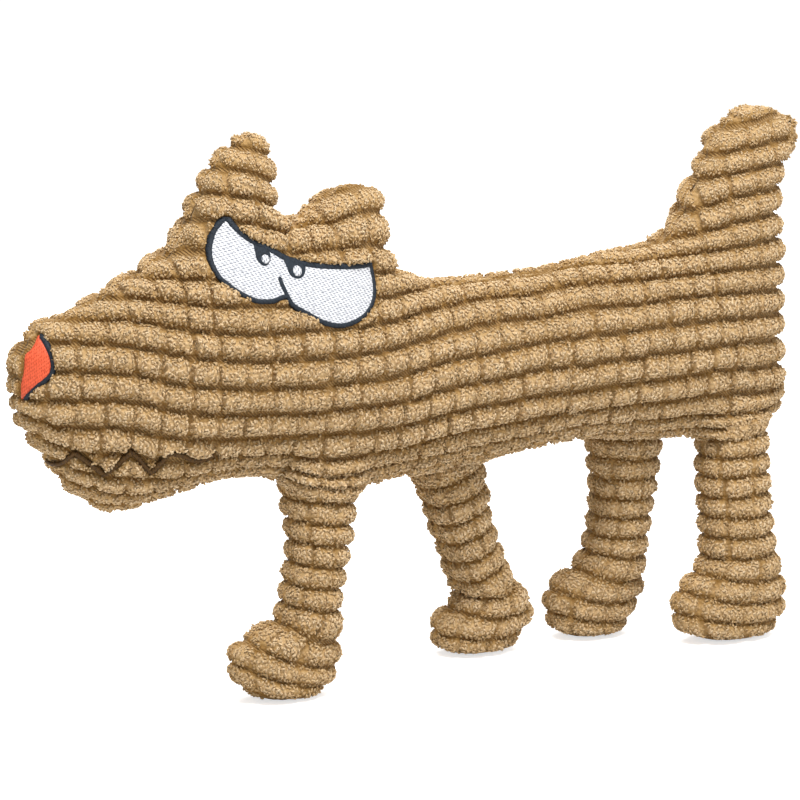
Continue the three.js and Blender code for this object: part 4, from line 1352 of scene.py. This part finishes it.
@dataclass
class Leg:
    """One stuffed leg with its foot.

    Each of its rows has the share of the way down, the centre's offset and the half length. The wales of
    the foot are tilted, and sink by the dip at its outer side. Pile is the room left for the pile, and
    girth is the length of cloth for each radian round the leg. The wales and blocks are counted on from
    first_wale and first_block.
    """

    name: str
    hip: float
    side: int
    spread: float
    tilt: float
    rows: tuple[tuple[float, float, float], ...]
    cloth: WaleCloth
    hip_height: float = 88
    hip_spread: float = 9
    half_width: float = 15.5
    pile: float = 3.0
    pitch: float = 8.8
    dip: float = 2.2
    sole: float = 1.0
    top: float = -0.14
    girth: float = 14.0
    first_wale: float = 40.2
    first_block: float = 400

    def build(self) -> bpy.types.Object:
        """Spins a tube and bends it into the leg, with its cloth coordinates."""
        form = bmesh.new()
        shares = np.concatenate([np.linspace(self.top, 0.6, 20), np.linspace(0.63, 0.985, 13)])
        profile = [(0.0, self.top), (0.5, self.top), *((1, share) for share in shares)]
        profile += [(ring, 1.0) for ring in (0.9, 0.66, 0.33, 0.0)]
        line = [form.verts.new((ring, 0, share)) for ring, share in profile]
        line += [form.edges.new(pair) for pair in zip(line, line[1:])]
        axis = {"cent": (0, 0, 0), "axis": (0, 0, 1), "angle": math.tau}
        bmesh.ops.spin(form, geom=line, steps=28, use_merge=True, **axis)
        bmesh.ops.remove_doubles(form, verts=form.verts[:], dist=1e-5)
        places = np.round([v.co for v in form.verts], 4)
        ring = np.hypot(places[:, 0], places[:, 1])
        turn = np.arctan2(places[:, 1], places[:, 0])
        move_to(form, self.bent(ring, turn, places[:, 2]) * MM)
        face_outward(form)
        made = refined(object_of(self.name + "_plush", form), 2)
        self.mark(made.data)
        return made

    def course(self, share: np.ndarray) -> tuple[np.ndarray, np.ndarray]:
        """Reads the centre's offset and the half length without the pile at shares of the way down."""
        rows = np.array(self.rows)
        fine = smooth_line(rows[:, :2], 6), smooth_line(rows[:, ::2], 6)
        centre, half = (np.interp(share, line[:, 0], line[:, 1]) for line in fine)
        return centre, half - self.pile

    def middle(self, down: np.ndarray) -> np.ndarray:
        """Reads where the leg's middle lies across the toy at distances below the hip."""
        return self.side * (self.hip_spread + (self.spread - self.hip_spread) / self.hip_height * down)

    def bent(self, ring: np.ndarray, turn: np.ndarray, share: np.ndarray) -> np.ndarray:
        """Places points of the straight tube on the leg.

        Args:
            ring: Distance from the axis as a share.
            turn: Angle round the axis.
            share: Share of the way down.

        Returns:
            Rows of x, y and z in millimetres.
        """
        centre, half = self.course(share)
        down = share * (self.hip_height - self.sole)
        width = (self.half_width - self.pile) * (1 - 5.5 * np.maximum(share - 0.93, 0) ** 1.3)
        x = self.hip + centre + ring * half * np.cos(turn)
        y = self.middle(down) + ring * width * np.sin(turn)
        return np.stack([x, y, self.hip_height - down], 1)

    def mark(self, mesh: bpy.types.Mesh) -> None:
        """Stores the cloth coordinates of a smooth leg mesh: across the leg above, tilted on the foot."""
        places = places_of(mesh) / MM
        down = self.hip_height - places[:, 2]
        share = np.clip(down / (self.hip_height - self.sole), self.top, 1)
        centre, half = self.course(share)
        shin = np.array([0.1, 0.55])
        offsets = np.interp(shin, *np.array(self.rows).T[:2])
        lean = np.diff(offsets)[0] / (np.diff(shin)[0] * self.hip_height)
        foot = step_up(share, 0.55, 0.8)
        out = places[:, 0] - self.hip - centre
        aside = (places[:, 1] - self.middle(down)) / (self.half_width - self.pile)
        outer = np.clip(np.abs(aside), 0, 1) ** 2
        cast = down + out * (lean * (1 - foot) - self.tilt * foot) - self.dip * foot * outer
        write_values(mesh, "wale", cast / self.pitch + self.first_wale)
        turn = np.arctan2(aside, -out / np.maximum(half, 4))
        write_values(mesh, "along", turn * self.girth + self.first_block)
        write_values(mesh, "rim", np.where(share > 0.97, 20, np.abs(turn) * self.girth))

    def kept_pile(self, mesh: bpy.types.Mesh) -> np.ndarray:
        """Works out how much pile stands at each vertex: it is pressed flat under the foot."""
        return 0.15 + 0.85 * step_up(places_of(mesh)[:, 2] / MM, 1.2, 6)

    def stand(self, mesh: bpy.types.Mesh) -> None:
        """Presses what would reach below the floor flat on it."""
        places = places_of(mesh)
        places[:, 2] = np.maximum(places[:, 2], 0)
        set_places(mesh, places)


# Each leg's rows, from above its hip to below its sole
LEFT_FRONT_ROWS = (
    (-0.2, -0.3, 18.0), (0, -0.3, 17.3), (0.12, -0.8, 16.0), (0.2, -1.0, 14.6), (0.3, -1.9, 13.4),
    (0.4, -3.8, 13.0), (0.5, -5.8, 13.0), (0.6, -7.6, 13.2), (0.66, -9.2, 15.0), (0.7, -13.2, 19.2),
    (0.75, -18.4, 23.8), (0.8, -20.0, 25.6), (0.86, -20.6, 25.0), (0.92, -20.8, 22.6), (0.97, -20.0, 18.0),
    (1, -19.5, 14.0), (1.05, -19.5, 13.0),
)  # fmt: skip
RIGHT_FRONT_ROWS = (
    (-0.2, 0.5, 18.0), (0, 1.0, 17.6), (0.12, 4.0, 16.2), (0.2, 7.0, 15.2), (0.3, 9.2, 14.0),
    (0.4, 12.4, 13.5), (0.5, 15.9, 13.6), (0.6, 19.6, 14.2), (0.66, 22.4, 14.8), (0.7, 25.4, 13.8),
    (0.75, 26.2, 17.6), (0.8, 25.2, 21.8), (0.86, 21.8, 23.8), (0.92, 20.0, 21.0), (0.97, 18.0, 17.0),
    (1, 17.5, 13.5), (1.05, 17.5, 13.0),
)  # fmt: skip
RIGHT_HIND_ROWS = (
    (-0.2, -1.0, 18.0), (0, -1.0, 17.6), (0.12, -0.4, 16.2), (0.2, 0.0, 15.2), (0.3, -0.2, 14.2),
    (0.4, -0.6, 13.8), (0.5, -1.5, 13.8), (0.6, -2.9, 15.0), (0.65, -4.4, 16.4), (0.7, -7.4, 19.2),
    (0.75, -10.8, 23.0), (0.8, -12.0, 23.6), (0.86, -12.8, 22.0), (0.92, -13.4, 19.6), (0.97, -13.6, 16.5),
    (1, -13.6, 13.0), (1.05, -13.6, 12.5),
)  # fmt: skip
LEFT_HIND_ROWS = (
    (-0.2, 1.5, 16.0), (0, 1.5, 16.0), (0.12, 1.0, 16.6), (0.2, 0.9, 17.0), (0.3, 1.2, 17.0),
    (0.4, 1.6, 16.8), (0.5, 1.8, 17.2), (0.6, 2.4, 18.4), (0.66, 1.6, 20.6), (0.7, 0.2, 23.6),
    (0.75, -1.6, 26.4), (0.8, -3.2, 27.8), (0.86, -4.0, 27.8), (0.92, -4.2, 25.8), (0.97, -3.6, 21.0),
    (1, -3.0, 16.0), (1.05, -3.0, 15.0),
)  # fmt: skip


# Stage


@dataclass(frozen=True)
class Studio:
    """Plain floor, soft lamps and the camera, in millimetres and degrees.

    Half_frame is half the width that the camera sees at its target, lower is how many pixels the toy sits
    lower in the picture, and glow is what makes the floor white for the camera.
    """

    distance: float = 1900.0
    yaw: float = -28.0
    pitch: float = 11.0
    target: tuple[float, float, float] = (-10.8, 0.0, 116.0)
    half_frame: float = 168.0
    sensor: float = 36.0
    picture: int = 800
    lower: int = 2
    around: float = 0.445
    glow: float = 0.66

    def build(self) -> None:
        """Makes the floor, the world, the lamps and the camera."""
        self.floor()
        self.world()
        self.lamp("key", (-150, -560, 1250), 520, 18.5)
        self.lamp("fill", (700, -900, 420), 700, 2.0)
        self.lamp("back", (300, 900, 900), 600, 13.0)
        self.camera()

    def floor(self) -> None:
        """A pale floor that the camera sees as white, with the toy's soft shadow."""
        form = bmesh.new()
        bmesh.ops.create_grid(form, x_segments=1, y_segments=1, size=30)
        floor = object_of("floor", form)
        made, tree = blank_material("pale_floor")
        matt = tree.add("BsdfDiffuse", {"Color": linear("f2f2f2")})
        share = tree.calc("MULTIPLY", tree.add("LightPath", {}, "Is Camera Ray"), self.glow)
        glow = tree.add("Emission", {"Color": (1, 1, 1, 1), "Strength": share})
        tree.end(tree.add("AddShader", {0: matt, 1: glow}))
        floor.data.materials.append(made)

    def world(self) -> None:
        """Even light from all round, seen as white."""
        world = bpy.data.worlds.new("studio")
        world.use_nodes = True
        world.node_tree.nodes.clear()
        tree = Shading(world.node_tree)
        level = tree.span(tree.add("LightPath", {}, "Is Camera Ray"), 0, 1, self.around, 1)
        tree.end(tree.add("Background", {"Color": (1, 1, 1, 1), "Strength": level}), "World")
        bpy.context.scene.world = world

    def lamp(self, name: str, place: tuple[float, float, float], size: float, power: float) -> None:
        """Hangs one square lamp that faces the toy.

        Args:
            name: The lamp's name.
            place: Where it hangs, in millimetres.
            size: Its side, in millimetres.
            power: Its strength in watts.
        """
        data = bpy.data.lights.new(name, "AREA")
        data.size = size * MM
        data.energy = power
        lamp = new_object(name, data)
        lamp.location = Vector(place) * MM
        aim = Vector(self.target) * MM - lamp.location
        lamp.rotation_euler = aim.to_track_quat("-Z", "Y").to_euler()

    def camera(self) -> None:
        """Stands the camera at the photograph's angle."""
        yaw, pitch = math.radians(self.yaw), math.radians(self.pitch)
        back = Vector((math.sin(yaw) * math.cos(pitch), -math.cos(yaw) * math.cos(pitch), math.sin(pitch)))
        data = bpy.data.cameras.new("camera")
        data.sensor_width = self.sensor
        data.lens = self.sensor / 2 * self.distance / self.half_frame
        data.shift_y = self.lower / self.picture
        data.clip_start, data.clip_end = 0.05, 100
        camera = new_object("camera", data)
        camera.location = (Vector(self.target) + back * self.distance) * MM
        camera.rotation_mode = "QUATERNION"
        camera.rotation_quaternion = (-back).to_track_quat("-Z", "Y")
        bpy.context.scene.camera = camera
        bpy.context.scene.view_settings.view_transform = "Standard"


def dress(piece: bpy.types.Object, material: bpy.types.Material) -> None:
    """Gives a piece its material and logs it."""
    piece.data.materials.append(material)
    piece.data.shade_smooth()
    LOG.info("%s: %d faces of %s", piece.name, len(piece.data.polygons), material.name)


def main() -> None:
    """Loads the frame, builds each part and reports it."""
    logging.basicConfig(level=logging.INFO, format="%(name)s: %(message)s")
    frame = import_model()
    Studio().build()
    cloth = WaleCloth()
    tight = replace(cloth, pile=2.9, rib=0.96, fine=0.1)
    plush = PilePlush().material()
    plastic = BlownPlastic().material()
    for part in ("squeaker_bulb", "squeaker_plug", "squeaker_reed"):
        node = frame["nodes"][part]
        node.data.materials.clear()
        node.data.materials.append(plastic)
        LOG.info("%s: finished in %s", part, plastic.name)
    legs = (
        Leg("left_front_leg", -53.8, -1, 17, 0.3, LEFT_FRONT_ROWS, tight),
        Leg("right_front_leg", 13.7, 1, 15, 0.0, RIGHT_FRONT_ROWS, tight),
        Leg("right_hind_leg", 104.7, 1, 18, 0.12, RIGHT_HIND_ROWS, tight),
        Leg("left_hind_leg", 146.7, -1, 16.5, 0.12, LEFT_HIND_ROWS, tight),
    )
    torso = Torso(cloth)
    pillow = torso.pillow()
    torso.part_for_legs(pillow, [(leg.hip, leg.side) for leg in legs])
    even = refined(new_object("torso_even", pillow.data.copy()), 1)
    corners, faces = even.data.vertices, even.data.polygons
    base = BVHTree.FromPolygons([v.co for v in corners], [tuple(f.vertices) for f in faces])
    bpy.data.objects.remove(even)
    face = Face()
    stuffing = ("head", "chest", "rump", "front_ear", "rear_ear", "tail")
    for name, left in (("left_side", True), ("right_side", False)):
        side = torso.side(pillow, name + "_plush", left)
        torso.close(side)
        keep = face.kept_pile(places_of(side.data) / MM) if left else None
        cloth.raise_pile(side.data, 11 if left else 47, keep)
        dress(side, plush)
        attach(side, "torso")
        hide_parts(name + "_panel")
        if left:
            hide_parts(*[f"{part}_stuffing" for part in stuffing])
    bpy.data.objects.remove(pillow)
    # Each thread's second colour is painted shade, between its threads and in its needle holes
    threads = {
        Slot.WHITE_THREAD: SatinThread("white_satin_thread", "e0e1e4", "82858e", holes=0.75),
        Slot.DARK_THREAD: SatinThread("slate_satin_thread", "222b35", "0d1116", holes=0.3, roughness=0.6),
        Slot.ORANGE_THREAD: SatinThread("orange_satin_thread", "e8633f", "b53a1e", row_mm=0.6, holes=0.35),
        Slot.BROWN_THREAD: SatinThread("brown_satin_thread", "553a12", "2a1b08", holes=0.3, roughness=0.7),
    }
    satins = {slot: thread.material() for slot, thread in threads.items()}
    for node, work in face.works():
        piece = work.build(base)
        dress(piece, satins[work.slot])
        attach(piece, "torso")
        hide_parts(node)
    for seed, leg in enumerate(legs):
        skin = leg.build()
        leg.cloth.raise_pile(skin.data, 80 + 13 * seed, leg.kept_pile(skin.data))
        leg.stand(skin.data)
        dress(skin, plush)
        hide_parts(*[f"{leg.name}_{part}" for part in ("outer_panel", "inner_panel", "stuffing")])
        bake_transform(skin)


if __name__ == "__main__":
    main()
